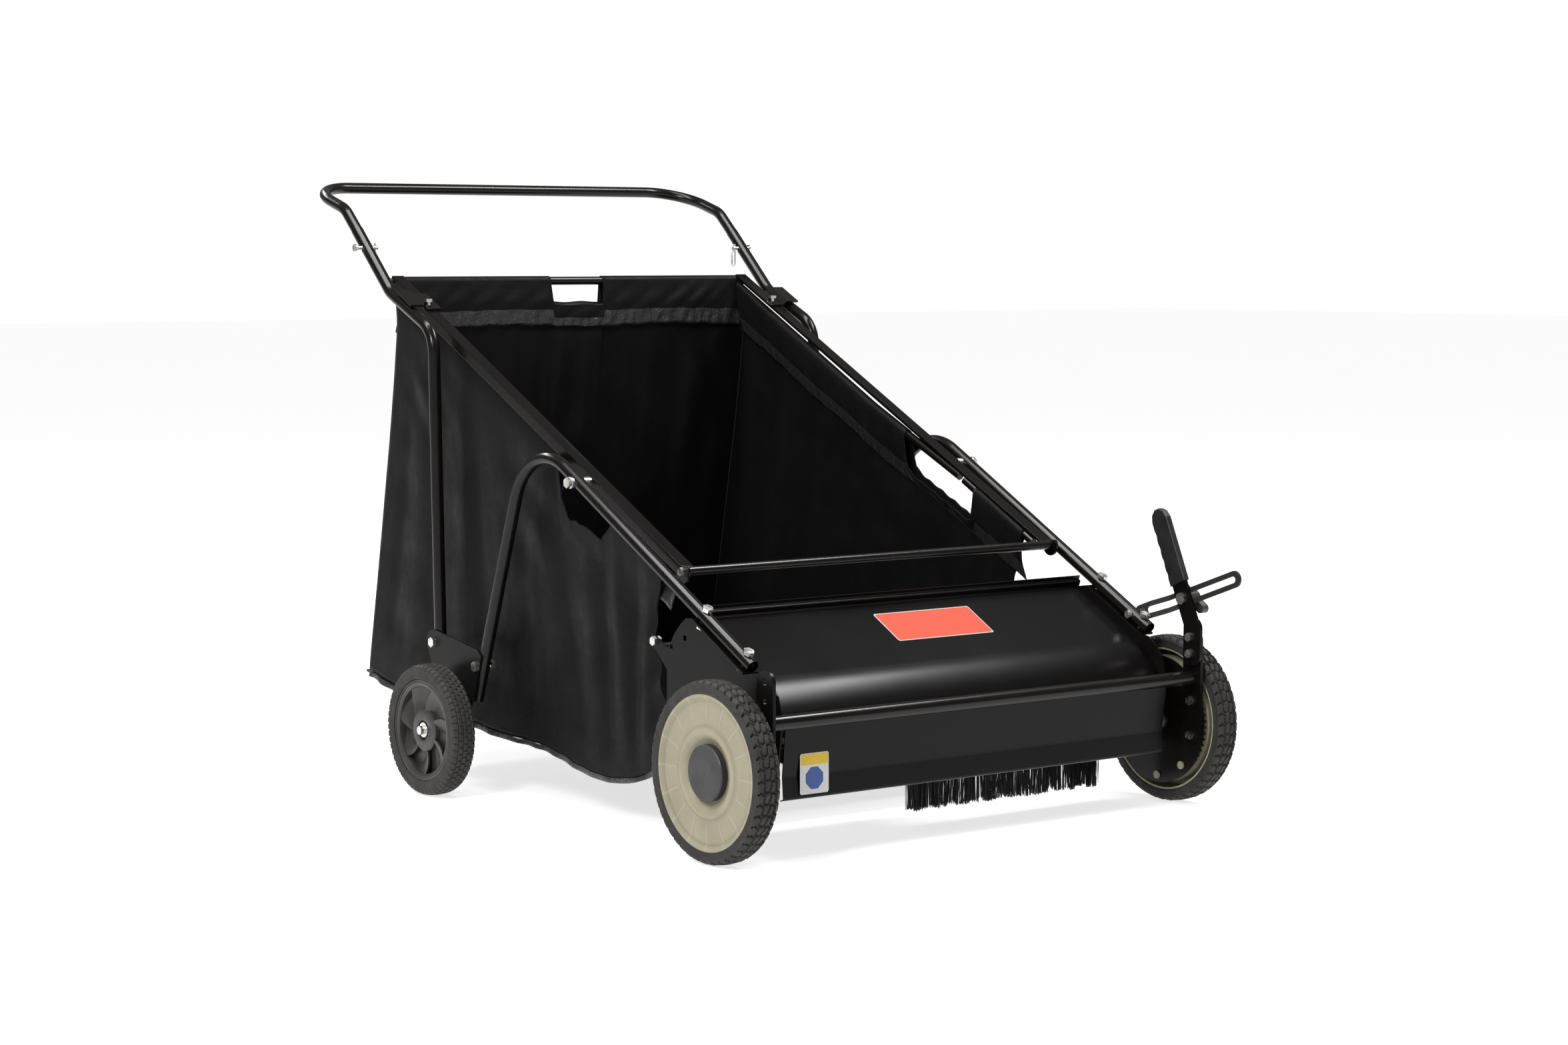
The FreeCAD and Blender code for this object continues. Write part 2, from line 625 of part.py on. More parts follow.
def hub_cap(side):
    """Push-in cap that hides the axle end."""
    seat = CAP_SEAT_X
    profile = [(seat, CAP_R - 2.2), (seat, CAP_R), (seat + 8.2, CAP_R - 0.4), (seat + 9.4, CAP_R - 1.6),
               (seat + 10.2, 18.0), (seat + 10.4, 0.0), (seat + 8.6, 0.0), (seat + 8.2, CAP_R - 3.0)]
    return on_side(revolve_x(profile, AXLE), side)


def rear_hub(side):
    """Moulded rear wheel with seven curved spokes."""
    x0, x1 = REAR_WHEEL_X
    rim = ring_x(x0 + 1, x1 - 1, REAR_AXLE, 72.0, 66.0)
    boss = ring_x(x0, REAR_BOSS_X, REAR_AXLE, 18.0, 6.0 + FIT)
    collar = ring_x(398.0, 411.5, REAR_AXLE, 31.0, 13.5)
    web = ring_x(x0 + 14, x0 + 17, REAR_AXLE, 67.0, 17.0)
    spokes = []
    for i in range(7):
        spoke = prism_x([(-3.0, 14.0), (3.0, 14.0), (6.5, 40.0), (4.5, 69.0), (-3.5, 69.0), (0.5, 40.0)],
                        x0 + 5, x1 - 5)
        spoke.rotate(V(0, 0, 0), V(1, 0, 0), 360.0 / 7 * i)
        spoke.translate(V(0, REAR_AXLE[0], REAR_AXLE[1]))
        spokes.append(spoke)
    hub = fused(rim, boss, collar, web, *spokes).cut(rod_x(REAR_BOSS_X, x1, REAR_AXLE, 13.5))
    hub = hub.cut(rod_x(x0 - 5, x1 + 5, REAR_AXLE, 6.0 + FIT))
    return on_side(hub.common(rod_x(x0, x1, REAR_AXLE, 72.0)), side)


def rear_tyre(side):
    x0, x1 = REAR_WHEEL_X
    outer = REAR_AXLE[1]
    profile = [(x0 + 1, 72.0), (x0, 75.0), (x0, outer - 6), (x0 + 5, outer - 1.2), ((x0 + x1) / 2 - 5, outer),
               ((x0 + x1) / 2 + 5, outer), (x1 - 5, outer - 1.2), (x1, outer - 6), (x1, 75.0), (x1 - 1, 72.0)]
    return on_side(revolve_x(profile, REAR_AXLE), side)


# ---------------------------------------------------------------- brush
BRUSH_HALVES = {LEFT: (-316.0, -38.0, 0.0), RIGHT: (-34.0, 316.0, 90.0)}     # from x, to x, turn in degrees
CLAMP_OUT = 20.0


def brush_shaft():
    return rod_x(-397.0, 397.0, BRUSH, SHAFT_R)


def turned_on_shaft(shape, degrees):
    shape.rotate(V(0, 0, 0), V(1, 0, 0), degrees)
    shape.translate(V(0, BRUSH[0], BRUSH[1]))
    return shape


def brush_clamps():
    """Channel clamps that grip the bristle rows on the shaft."""
    bars = []
    for x0, x1, turn in BRUSH_HALVES.values():
        bar = turned_on_shaft(box(x0 + 2, x1 - 2, -CLAMP_OUT, CLAMP_OUT, -8.0, 8.0), turn)
        bars.append(bar.cut(rod_x(-400, 400, BRUSH, SHAFT_R)))
    return Part.makeCompound(bars)


def bristles(half):
    """Two opposite bristle rows of one half of the brush."""
    x0, x1, turn = BRUSH_HALVES[half]
    rows = []
    for sign in (1, -1):
        row = prism_x([(sign * CLAMP_OUT, -4.0), (sign * CLAMP_OUT, 4.0), (sign * (BRUSH_R - 0.4), 7.0),
                       (sign * (BRUSH_R - 0.4), -7.0)], x0, x1)
        rows.append(turned_on_shaft(row, turn))
    return Part.makeCompound(rows)


def fixed_pinion():
    return on_side(pinion().cut(rod_x(370, 400, BRUSH, SHAFT_R)), LEFT)


def free_pinion():
    return pinion().cut(rod_x(370, 400, BRUSH, SHAFT_R + FIT))


# ---------------------------------------------------------------- hopper
def rail(side):
    """Angle-iron side rail with an ear round the front rod."""
    flange = prism_x([RAIL_FOOT, RAIL_TOP, rail_line(RAIL_TOP[0], RAIL_T), rail_line(RAIL_FOOT[0], RAIL_T)],
                     RAIL_X - RAIL_FLANGE, RAIL_X)
    leg = prism_x([RAIL_FOOT, RAIL_TOP, rail_line(RAIL_TOP[0], RAIL_LEG), rail_line(RAIL_FOOT[0], RAIL_LEG)],
                  RAIL_X - RAIL_T, RAIL_X)
    ear = rod_x(RAIL_X - RAIL_T, RAIL_X, (FRONT_ROD[0] + 1.0, FRONT_ROD[1] - 1.5), 14.0)
    ear = ear.cut(box(300, 330, 100, 250, 358.5, 400))
    holes = [rod_x(RAIL_X - 4, RAIL_X + 1, PIVOT, 3.0 + FIT), rod_x(RAIL_X - 4, RAIL_X + 1, FRONT_ROD, 3.2),
             rod_x(RAIL_X - 4, RAIL_X + 1, rear_rod(), 3.2), rod_x(300, RAIL_X - RAIL_T, FRONT_ROD, ROD_R)]
    bolt_y, bolt_z = rail_line(803)
    holes.append(Part.makeCylinder(3.0, 30, V(314, bolt_y, bolt_z - 15), V(0, 0, 1)))
    return on_side(fused(flange, leg, ear).cut(holes), side)


def rear_rod():
    return rail_line(RAIL_TOP[0] - 1.0, RAIL_T + ROD_R)


def cross_rod(centre):
    return ring_x(-(RAIL_X - RAIL_T), RAIL_X - RAIL_T, centre, ROD_R, ROD_R - 1.2)


def side_rods():
    """Rods inside the bag's side hems: a short front one and a long bent rear one under each rail."""
    rods = []
    for side in (LEFT, RIGHT):
        front = in_plane(HEM_ROD_X, [rail_line(184, 12.0), rail_line(333, 9.4)])
        rear = in_plane(HEM_ROD_X, [rail_line(343, 9.4), rail_line(540, 18.0), rail_line(866, 15.5)])
        rods.append(on_side(bar_between(*front, HEM_ROD_R), side))
        rods.append(on_side(rod(rear, [600.0], HEM_ROD_R), side))
    return Part.makeCompound(rods)


def hanger_brackets():
    """Joggled plates on the rails that rest on the frame tubes and stop the hopper."""
    plates = []
    slope = math.atan2(RAIL_TOP[1] - RAIL_FOOT[1], RAIL_TOP[0] - RAIL_FOOT[0])
    for side in (LEFT, RIGHT):
        plan = [(300, 0), (326, 0), (332, 6.3), (353, 6.3), (353, 9.3), (331, 9.3), (325, 3), (300, 3)]
        points = [V(x, 0, z) for x, z in plan]
        plate = Part.Face(Part.makePolygon(points + points[:1])).extrude(V(0, 46, 0))
        plate.rotate(V(0, 0, 0), V(1, 0, 0), math.degrees(slope))
        y, z = rail_line(792)
        plate.translate(V(0, y, z))
        bolt_y, bolt_z = rail_line(803)
        plate = plate.cut(Part.makeCylinder(3.0, 40, V(314, bolt_y, bolt_z - 20), V(0, 0, 1)))
        plates.append(on_side(plate, side))
    return Part.makeCompound(plates)


def hopper_bolts():
    bolts = []
    for side in (LEFT, RIGHT):
        for centre in (FRONT_ROD, rear_rod()):
            bolt = fused(rod_x(306.0, 326.0, centre, 3.2), hex_x(RAIL_X, 329.0, centre, 10.0))
            bolts.append(on_side(bolt, side))
        y, z = rail_line(803)
        upright = fused(Part.makeCylinder(3.0, 10.6, V(314, y, z - 3.3), V(0, 0, 1)),
                        Part.makeCylinder(6.0, 4.2, V(314, y, z + 6.6), V(0, 0, 1)))
        bolts.append(on_side(upright, side))
    return Part.makeCompound(bolts)


BAG_FRONT_Y = 200.0
BAG_BOTTOM = [(BAG_FRONT_Y, 120), (222, 78), (256, 57), (300, 50), (381, 52), (463, 64), (526, 76), (613, 83),
              (669, 91), (904, 122), (978, 137)]
BAG_REAR = [(974, 152), (907, 500), (882, 672)]
BAG_REAR_TOP = 884.0
RIM_DROP = 19.2                    # the bag's top edge below the rails' top fold, measured along Z


def rim_point(y):
    return (y, rail_line(y)[1] - RIM_DROP)


def hopper_bag():
    """Fabric hopper as a thin shell: open at the front and top, with a hand hole and two side openings."""
    profile = BAG_BOTTOM + BAG_REAR + [rim_point(BAG_REAR_TOP)]
    wall_outline = [rim_point(BAG_FRONT_Y)] + profile
    band = profile + list(reversed(offset_line(profile, BAG_T)))
    inner_x = BAG_X - BAG_T
    band_solid = prism_x(band, -BAG_X, BAG_X)
    walls = []
    for side in (LEFT, RIGHT):
        wall = prism_x(wall_outline, inner_x, BAG_X)
        low = [(y, rim_point(y)[1] - 40.0) for y in (307, 460)]
        window = prism_x(low + [(460, 600), (307, 600)], inner_x - 5, BAG_X + 5)
        walls.append(on_side(wall.cut(window), side))
    hand = box(-48, 48, 860, 900, 680, 720)
    return fused(band_solid.cut(hand), *walls)


def floor_board():
    """Stiff board under the rear of the bag."""
    outline = [(672, 88.0), (904, 118.7), (993, 136.5)]
    return sheet_strip(outline, [300.0], 3.0, -312.0, 312.0)


# ---------------------------------------------------------------- the assembly
NODES = {
    "top_cover": top_cover, "front_panel": front_panel, "brush_bearings": brush_bearings,
    "upper_handle": upper_handle, "handle_pins": handle_pins, "hairpins": hairpins,
    "rear_axles": rear_axles, "push_nuts": push_nuts, "frame_bolts": frame_bolts,
    "hopper_pivot_bolts": hopper_pivot_bolts, "pivot_spacers": pivot_spacers, "stay_bolt": stay_bolt,
    "slotted_stay": slotted_stay, "height_tube": height_tube, "front_axles": front_axles,
    "axle_retainers": axle_retainers, "strap_bolts": strap_bolts, "disc_rivets": disc_rivets,
    "height_lever": height_lever, "lever_grip": lever_grip, "clamp_bolt": clamp_bolt,
    "clamp_knob": clamp_knob, "brush_shaft": brush_shaft, "brush_clamps": brush_clamps,
    "bristles_left": lambda: bristles(LEFT), "bristles_right": lambda: bristles(RIGHT),
    "pinion_left": fixed_pinion, "pinion_right": free_pinion,
    "hopper_front_rod": lambda: cross_rod(FRONT_ROD), "hopper_rear_rod": lambda: cross_rod(rear_rod()),
    "hopper_side_rods": side_rods, "hanger_brackets": hanger_brackets, "hopper_bolts": hopper_bolts,
    "hopper_bag": hopper_bag, "floor_board": floor_board,
}
PAIRS = {
    "side_plate": side_plate, "front_frame_tube": front_frame_tube, "rear_frame_tube": rear_frame_tube,
    "wheel_plate": wheel_plate, "strap": strap, "wheel_disc": wheel_disc, "front_hub": front_hub,
    "front_tyre": front_tyre, "hub_cap": hub_cap, "rear_hub": rear_hub, "rear_tyre": rear_tyre, "rail": rail,
}


def solids(shape):
    """The closed solids of a shape, each with its faces the right way out."""
    found = shape.Solids
    for solid in found:
        if solid.Volume < 0:
            solid.reverse()
    return found


parts = {name: solids(make()) for name, make in NODES.items()}
for name, make in PAIRS.items():
    parts[name + "_left"] = solids(make(LEFT))
    parts[name + "_right"] = solids(make(RIGHT))

whole = FreeCAD.BoundBox()
for pieces in parts.values():
    for piece in pieces:
        whole.add(piece.optimalBoundingBox(False))
shift = -(whole.YMin + whole.YMax) / 2

os.makedirs("parts", exist_ok=True)
for name, pieces in parts.items():
    moved = Part.makeCompound(pieces) if len(pieces) > 1 else pieces[0]
    moved.translate(V(0, shift, 0))
    moved.exportStep("parts/" + name + ".step")

slot = (-math.cos(STAY_SLOPE), math.sin(STAY_SLOPE))
gain = ((CLAMP[0] - BRUSH[0]) * slot[0] + (CLAMP[1] - BRUSH[1]) * slot[1]) * math.cos(STAY_SLOPE) / STAY_PIVOT_RUN
print("nodes", len(parts), "shift along Y", round(shift, 3), "stay turns per carrier turn", round(gain, 4))
print("box", [round(v, 2) for v in (whole.XMin, whole.XMax, whole.YMin, whole.YMax, whole.ZMin, whole.ZMax)])
print("brush axis", [round(v, 3) for v in BRUSH], "stay pivot", [round(v, 3) for v in stay_pivot()])
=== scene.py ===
"""Walk-behind lawn sweeper: materials, tyres, rear hubs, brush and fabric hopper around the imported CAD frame.

Metres, in the row frame: +Z up, -Y towards the brush, +Y towards the handle. Lengths that are easier to read
in millimetres are multiplied by MM. "Run" is the distance behind the front axle.
"""
import math
import random

import bpy
import numpy as np
from mathutils import Matrix, Vector


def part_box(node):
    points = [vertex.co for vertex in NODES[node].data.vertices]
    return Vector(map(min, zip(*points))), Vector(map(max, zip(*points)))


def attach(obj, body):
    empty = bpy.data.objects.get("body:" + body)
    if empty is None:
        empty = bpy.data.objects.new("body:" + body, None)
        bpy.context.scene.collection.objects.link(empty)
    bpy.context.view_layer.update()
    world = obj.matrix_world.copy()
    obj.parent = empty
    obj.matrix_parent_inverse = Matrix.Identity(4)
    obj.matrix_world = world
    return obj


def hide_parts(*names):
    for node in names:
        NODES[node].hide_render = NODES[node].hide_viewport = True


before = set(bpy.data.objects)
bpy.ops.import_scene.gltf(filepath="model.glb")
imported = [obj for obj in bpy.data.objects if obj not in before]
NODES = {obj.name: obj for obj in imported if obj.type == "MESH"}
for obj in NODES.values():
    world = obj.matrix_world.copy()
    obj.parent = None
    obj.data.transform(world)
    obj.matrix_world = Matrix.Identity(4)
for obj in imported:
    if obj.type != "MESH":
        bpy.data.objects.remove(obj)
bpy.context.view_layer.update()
MM = 0.001
FRONT_LOW, FRONT_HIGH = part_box("front_tyre_left")
AXLE_Y = (FRONT_LOW.y + FRONT_HIGH.y) / 2
SIDES = {"left": -1, "right": 1}


# ---------------------------------------------------------------- node helpers
def node(mat, kind, inputs=None, **settings):
    """Adds a shader node; an input is a value or another node's output."""
    made = mat.node_tree.nodes.new("ShaderNode" + kind)
    for key, value in settings.items():
        setattr(made, key, value)
    for key, value in (inputs or {}).items():
        if isinstance(value, bpy.types.NodeSocket):
            mat.node_tree.links.new(value, made.inputs[key])
        else:
            made.inputs[key].default_value = value
    return made


def place(mat, scale=(1, 1, 1), turn=(0, 0, 0)):
    coords = node(mat, "TexCoord").outputs["Object"]
    return node(mat, "Mapping", {"Vector": coords, "Scale": scale, "Rotation": turn}).outputs["Vector"]


def noise(mat, scale, detail=3.0, stretch=(1, 1, 1), rough=0.5):
    return node(mat, "TexNoise", {"Vector": place(mat, stretch), "Scale": scale, "Detail": detail,
                                  "Roughness": rough}).outputs["Fac"]


def bands(mat, direction, period, turn=(0, 0, 0)):
    """A sine wave across the surface, with its period in metres."""
    return node(mat, "TexWave", {"Vector": place(mat, turn=turn), "Scale": math.pi / (10 * period),
                                 "Distortion": 0.0}, bands_direction=direction).outputs["Fac"]


def spread(mat, value, low, high, start=0.3, end=0.7):
    return node(mat, "MapRange", {"Value": value, "From Min": start, "From Max": end, "To Min": low,
                                  "To Max": high}).outputs["Result"]


def maths(mat, operation, a, b):
    return node(mat, "Math", {0: a, 1: b}, operation=operation).outputs[0]


def mixed(mat, factor, first, second):
    made = node(mat, "Mix", {0: factor}, data_type="RGBA")
    for index, value in ((6, first), (7, second)):
        if isinstance(value, bpy.types.NodeSocket):
            mat.node_tree.links.new(value, made.inputs[index])
        else:
            made.inputs[index].default_value = (*value, 1)
    return made.outputs[2]


def material(name, roughness=0.5, metallic=0.0, **sockets):
    mat = bpy.data.materials.new(name)
    mat.use_nodes = True
    shader = mat.node_tree.nodes["Principled BSDF"]
    shader.inputs["Roughness"].default_value = roughness
    shader.inputs["Metallic"].default_value = metallic
    for key, value in sockets.items():
        shader.inputs[key.replace("_", " ")].default_value = value
    return mat


def finish_material(mat, colour=None, roughness=None, bumps=(), bend=0.0):
    """Links the colour, the roughness and (height, strength, distance) bumps; bend is the edges' radius."""
    shader = mat.node_tree.nodes["Principled BSDF"]
    if colour is not None:
        mat.node_tree.links.new(colour, shader.inputs["Base Color"])
    if roughness is not None:
        mat.node_tree.links.new(roughness, shader.inputs["Roughness"])
    normal = None
    if bend:
        normal = node(mat, "Bevel", {"Radius": bend}, samples=4).outputs["Normal"]
    for height, strength, distance in bumps:
        inputs = {"Height": height, "Strength": strength, "Distance": distance}
        if normal is not None:
            inputs["Normal"] = normal
        normal = node(mat, "Bump", inputs).outputs["Normal"]
    if normal is not None:
        mat.node_tree.links.new(normal, shader.inputs["Normal"])
    return mat


# ---------------------------------------------------------------- materials
def powder_coat(name, roughness, level, tint, bend=0.0):
    mat = material(name, Specular_IOR_Level=level)
    colour = mixed(mat, spread(mat, noise(mat, 9), 0, 1), tint, tuple(c * 1.6 for c in tint))
    rough = spread(mat, noise(mat, 7, 3), roughness * 0.92, roughness * 1.1)
    return finish_material(mat, colour, rough, [(noise(mat, 520, 2), 0.01, 0.0002)], bend)


def plated(name, colour, roughness):
    mat = material(name, metallic=1.0)
    tone = mixed(mat, spread(mat, noise(mat, 70, 5), 0, 1), tuple(c * 0.62 for c in colour), colour)
    rough = spread(mat, noise(mat, 160, 4), roughness * 0.7, roughness * 1.6)
    return finish_material(mat, tone, rough, [(noise(mat, 800, 2), 0.12, 0.0004)])


def moulded(name, dark, light, roughness, grain=0.1, level=0.5):
    mat = material(name, Specular_IOR_Level=level)
    colour = mixed(mat, spread(mat, noise(mat, 30, 4), 0, 1), dark, light)
    rough = spread(mat, noise(mat, 45, 4), roughness * 0.85, roughness * 1.2)
    return finish_material(mat, colour, rough, [(noise(mat, 1500, 2), grain, 0.0004)])


# (radius / 100 mm, how light the painted shade and highlight make the moulding there)
HUB_PAINTED_SHADE_RINGS = ((0.41, 0.86), (0.46, 1.0), (0.56, 0.99), (0.595, 0.87), (0.65, 0.96), (0.84, 0.97), (0.885, 0.92),
             (0.905, 0.8), (0.93, 0.93), (0.975, 1.0))


def hub_cream():
    """Slightly translucent moulded wheel: cloudy, with paler spokes where the ribs behind it show through, and
    painted shade and highlight rings by radius.
    """
    mat = material("hub_cream", Subsurface_Weight=0.15, Subsurface_Scale=0.004, Specular_IOR_Level=0.35)
    mat.node_tree.nodes["Principled BSDF"].inputs["Subsurface Radius"].default_value = (1.0, 0.9, 0.6)
    cloud = mixed(mat, spread(mat, noise(mat, 26, 5), 0, 1), (0.205, 0.190, 0.136), (0.245, 0.228, 0.166))
    middle = Vector((0, AXLE_Y, (FRONT_LOW.z + FRONT_HIGH.z) / 2))
    coords = node(mat, "TexCoord").outputs["Object"]
    part = node(mat, "SeparateXYZ", {0: node(mat, "VectorMath", {0: coords, 1: middle}, operation="SUBTRACT")
                                     .outputs[0]})
    y, z = part.outputs["Y"], part.outputs["Z"]
    squares = maths(mat, "ADD", maths(mat, "MULTIPLY", y, y), maths(mat, "MULTIPLY", z, z))
    radius = maths(mat, "SQRT", squares, 0.0)
    spokes = maths(mat, "COSINE", maths(mat, "MULTIPLY", maths(mat, "ARCTAN2", z, y), 16.0), 0.0)
    spokes = spread(mat, spokes, 0, 0.5, 0.93, 1.0)
    outer = spread(mat, radius, 0, 0.8, 0.062, 0.066)
    colour = mixed(mat, maths(mat, "MULTIPLY", spokes, outer), cloud, (0.33, 0.315, 0.24))
    # painted shade in the hub's grooves, its steps and round the cap, and painted highlight on its ridges, as a ramp
    # over the radius
    shade = node(mat, "ValToRGB", {"Fac": maths(mat, "MULTIPLY", radius, 10.0)})
    shade.color_ramp.interpolation = "EASE"
    shade.color_ramp.elements[0].position, shade.color_ramp.elements[1].position = 0.37, 1.0
    shade.color_ramp.elements[0].color = (0.62, 0.59, 0.52, 1)
    for spot, tone in HUB_PAINTED_SHADE_RINGS:
        shade.color_ramp.elements.new(spot).color = (tone, tone * 0.985, tone * 0.94, 1)
    colour = node(mat, "Mix", {0: 1.0, 6: colour, 7: shade.outputs["Color"]}, data_type="RGBA",
                  blend_type="MULTIPLY").outputs[2]
    rough = spread(mat, noise(mat, 60, 3), 0.36, 0.5)
    return finish_material(mat, colour, rough, [(noise(mat, 900, 2), 0.06, 0.0004)])


def rubber(name, dark, light):
    mat = material(name, Specular_IOR_Level=0.35)
    dust = spread(mat, noise(mat, 34, 6, rough=0.65), 0, 1, 0.35, 0.75)
    rough = spread(mat, noise(mat, 90, 4), 0.55, 0.78)
    bumps = [(noise(mat, 620, 4), 0.25, 0.0005), (noise(mat, 90, 3), 0.12, 0.001)]
    return finish_material(mat, mixed(mat, dust, dark, light), rough, bumps)


def woven(name, roughness, crinkle, level=0.5, shade=1.0):
    """Black coated cloth: fine crosswise ribs, threads the other way, and small creases."""
    mat = material(name, Specular_IOR_Level=level, Sheen_Weight=0.02, Sheen_Roughness=0.4)
    ribs = bands(mat, "Z", 1.9 * MM)
    threads = bands(mat, "X", 1.5 * MM, (0, 0, math.radians(45)))
    weave = maths(mat, "MULTIPLY", ribs, spread(mat, threads, 0.6, 1, 0, 1))
    worn = spread(mat, noise(mat, 14, 6, rough=0.6), 0, 1)
    colour = mixed(mat, worn, tuple(shade * c for c in (0.0042, 0.0042, 0.0045)),
                   tuple(shade * c for c in (0.0062, 0.0062, 0.0064)))
    rough = spread(mat, noise(mat, 40, 5), roughness * 0.85, roughness * 1.2)
    bumps = [(weave, 0.22, 0.0004), (noise(mat, 130, 5, rough=0.6), crinkle, 0.003)]
    return finish_material(mat, colour, rough, bumps)


def brushed(name, colour):
    mat = material(name, metallic=1.0)
    lines = noise(mat, 240, 3, (0.04, 1, 1))
    return finish_material(mat, mixed(mat, spread(mat, lines, 0, 1), tuple(c * 0.7 for c in colour), colour),
                           spread(mat, lines, 0.28, 0.46), [(lines, 0.08, 0.0003)])


def plain_print(name, colour, roughness=0.35):
    mat = material(name, Specular_IOR_Level=0.4)
    tone = mixed(mat, spread(mat, noise(mat, 40, 3), 0, 1), tuple(c * 0.93 for c in colour), colour)
    return finish_material(mat, tone, bumps=[(noise(mat, 300, 2), 0.03, 0.0004)])


PAINT = powder_coat("tube_paint", 0.22, 0.22, (0.0030, 0.0024, 0.0021))
PANEL_PAINT = powder_coat("panel_paint", 0.25, 0.12, (0.0016, 0.0013, 0.0012))
RAIL_PAINT = powder_coat("rail_paint", 0.22, 0.14, (0.0022, 0.0018, 0.0016), 1.6 * MM)
PLATE_PAINT = powder_coat("plate_paint", 0.3, 0.1, (0.0022, 0.0019, 0.0018), 0.6 * MM)
STAY_PAINT = powder_coat("stay_paint", 0.42, 0.3, (0.014, 0.0136, 0.0128), 0.6 * MM)
FABRIC = woven("coated_weave", 0.42, 0.05, 0.07, 0.7)
TAPE = woven("stitched_tape", 0.28, 0.75, 0.5, 2.4)
FRONT_RUBBER = rubber("front_rubber", (0.0135, 0.012, 0.0105), (0.024, 0.021, 0.018))
REAR_RUBBER = rubber("rear_rubber", (0.0155, 0.0148, 0.0135), (0.028, 0.026, 0.0235))
CAP_PLASTIC = moulded("cap_plastic", (0.012, 0.012, 0.0125), (0.02, 0.02, 0.0205), 0.5, 0.25)
HUB_PLASTIC = moulded("hub_plastic", (0.0155, 0.0142, 0.013), (0.024, 0.0215, 0.0195), 0.42, 0.15)
SLOT_LOOKS = {
    "black_paint": PAINT,
    "zinc": plated("zinc_plate", (0.74, 0.73, 0.69), 0.26),
    "bearing_bronze": moulded("bearing_plastic", (0.02, 0.018, 0.016), (0.05, 0.045, 0.04), 0.45),
    "cream_plastic": hub_cream(),
    "tyre_black": FRONT_RUBBER,
    "black_plastic": CAP_PLASTIC,
    "gear_plastic": moulded("gear_nylon", (0.50, 0.48, 0.41), (0.62, 0.60, 0.53), 0.4),
    "steel": brushed("plain_steel", (0.50, 0.50, 0.52)),
    "bristle": moulded("bristle_black", (0.006, 0.006, 0.006), (0.013, 0.012, 0.012), 0.42, 0.05),
    "bag_fabric": FABRIC,
    "board": moulded("floor_board", (0.01, 0.01, 0.01), (0.02, 0.019, 0.018), 0.5, 0.3),
}
NODE_LOOKS = {"top_cover": PANEL_PAINT, "front_panel": PANEL_PAINT, "rail_left": RAIL_PAINT,
              "rail_right": RAIL_PAINT, "side_plate_left": PLATE_PAINT, "side_plate_right": PLATE_PAINT,
              "wheel_plate_left": PLATE_PAINT, "wheel_plate_right": PLATE_PAINT, "strap_left": PLATE_PAINT,
              "strap_right": PLATE_PAINT, "height_lever": PLATE_PAINT, "slotted_stay": STAY_PAINT,
              "clamp_knob": moulded("knob_plastic", (0.018, 0.018, 0.018), (0.03, 0.03, 0.029), 0.4, 0.2),
              "lever_grip": moulded("grip_vinyl", (0.007, 0.007, 0.007), (0.013, 0.013, 0.013), 0.38, 0.3)}


def paint_cad():
    for name, obj in NODES.items():
        packed = obj.data.materials[0].name
        slot = next(s for s in sorted(SLOT_LOOKS, key=len, reverse=True) if s in packed)
        look = NODE_LOOKS.get(name) or SLOT_LOOKS[slot]
        if not obj.material_slots:
            obj.data.materials.append(None)
        for place_in in obj.material_slots:
            place_in.link = "OBJECT"
            place_in.material = look
        if not obj.data.has_custom_normals:
            obj.data.shade_smooth()
            obj.data.set_sharp_from_angle(angle=math.radians(32))


# ---------------------------------------------------------------- mesh helpers
def mesh_object(name, points, faces, looks, body, look_of=None, smooth=40):
    """A piece from its points and faces that rides on a body."""
    mesh = bpy.data.meshes.new(name)
    mesh.from_pydata([tuple(p) for p in np.asarray(points, float)], [], faces)
    mesh.validate()
    for look in looks:
        mesh.materials.append(look)
    if look_of is not None:
        mesh.polygons.foreach_set("material_index", np.asarray(look_of, np.int32))
    mesh.shade_smooth()
    mesh.set_sharp_from_angle(angle=math.radians(smooth))
    mesh.update()
    obj = bpy.data.objects.new(name, mesh)
    bpy.context.scene.collection.objects.link(obj)
    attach(obj, body)
    return obj


def ring_faces(around, across, closed=True):
    """Quads of a grid that is closed around, and closed across too when it is a torus."""
    faces = []
    last = across if closed else across - 1
    for i in range(around):
        a, b = i * across, (i + 1) % around * across
        for j in range(last):
            k = (j + 1) % across
            faces.append((a + j, b + j, b + k, a + k))
    return faces


def bevelled_box(size, cut):
    """Points and faces of a flat plate with its corners cut."""
    w, h, t = size
    outline = [(-w + cut, -h), (w - cut, -h), (w, -h + cut), (w, h - cut), (w - cut, h), (-w + cut, h),
               (-w, h - cut), (-w, -h + cut)]
    points = [(x, y, 0.0) for x, y in outline] + [(x, y, t) for x, y in outline]
    n = len(outline)
    faces = [tuple(reversed(range(n))), tuple(range(n, 2 * n))]
    faces += [(i, (i + 1) % n, n + (i + 1) % n, n + i) for i in range(n)]
    return points, faces


def triangle_wave(t):
    return 2 * np.abs(2 * (t - np.floor(t + 0.5))) - 1


def groove(distance, width):
    """1 in the middle of a groove and 0 outside it, for a distance from its centre line."""
    return np.clip(1.35 - np.abs(distance) / (width / 2) * 1.35 + 0.35, 0, 1)


# ---------------------------------------------------------------- tyres and rear hubs
def tyre_section(half, outer, seat, step):
    """(x, radius) round a tyre's section, closely spaced, starting at the inner bead."""
    shoulder = 6.5 * MM
    corners = [(-half + 1 * MM, seat), (-half, seat + 3 * MM), (-half, outer - shoulder),
               (-half + 1.6 * MM, outer - 3 * MM), (-half + shoulder, outer - 0.7 * MM), (0.0, outer)]
    corners += [(-x, r) for x, r in reversed(corners[:-1])]
    line = [corners[0]]
    for a, b in zip(corners, corners[1:]):
        parts = max(1, round(math.dist(a, b) / step))
        line += [(a[0] + (b[0] - a[0]) * k / parts, a[1] + (b[1] - a[1]) * k / parts)
                 for k in range(1, parts + 1)]
    return np.array(line)


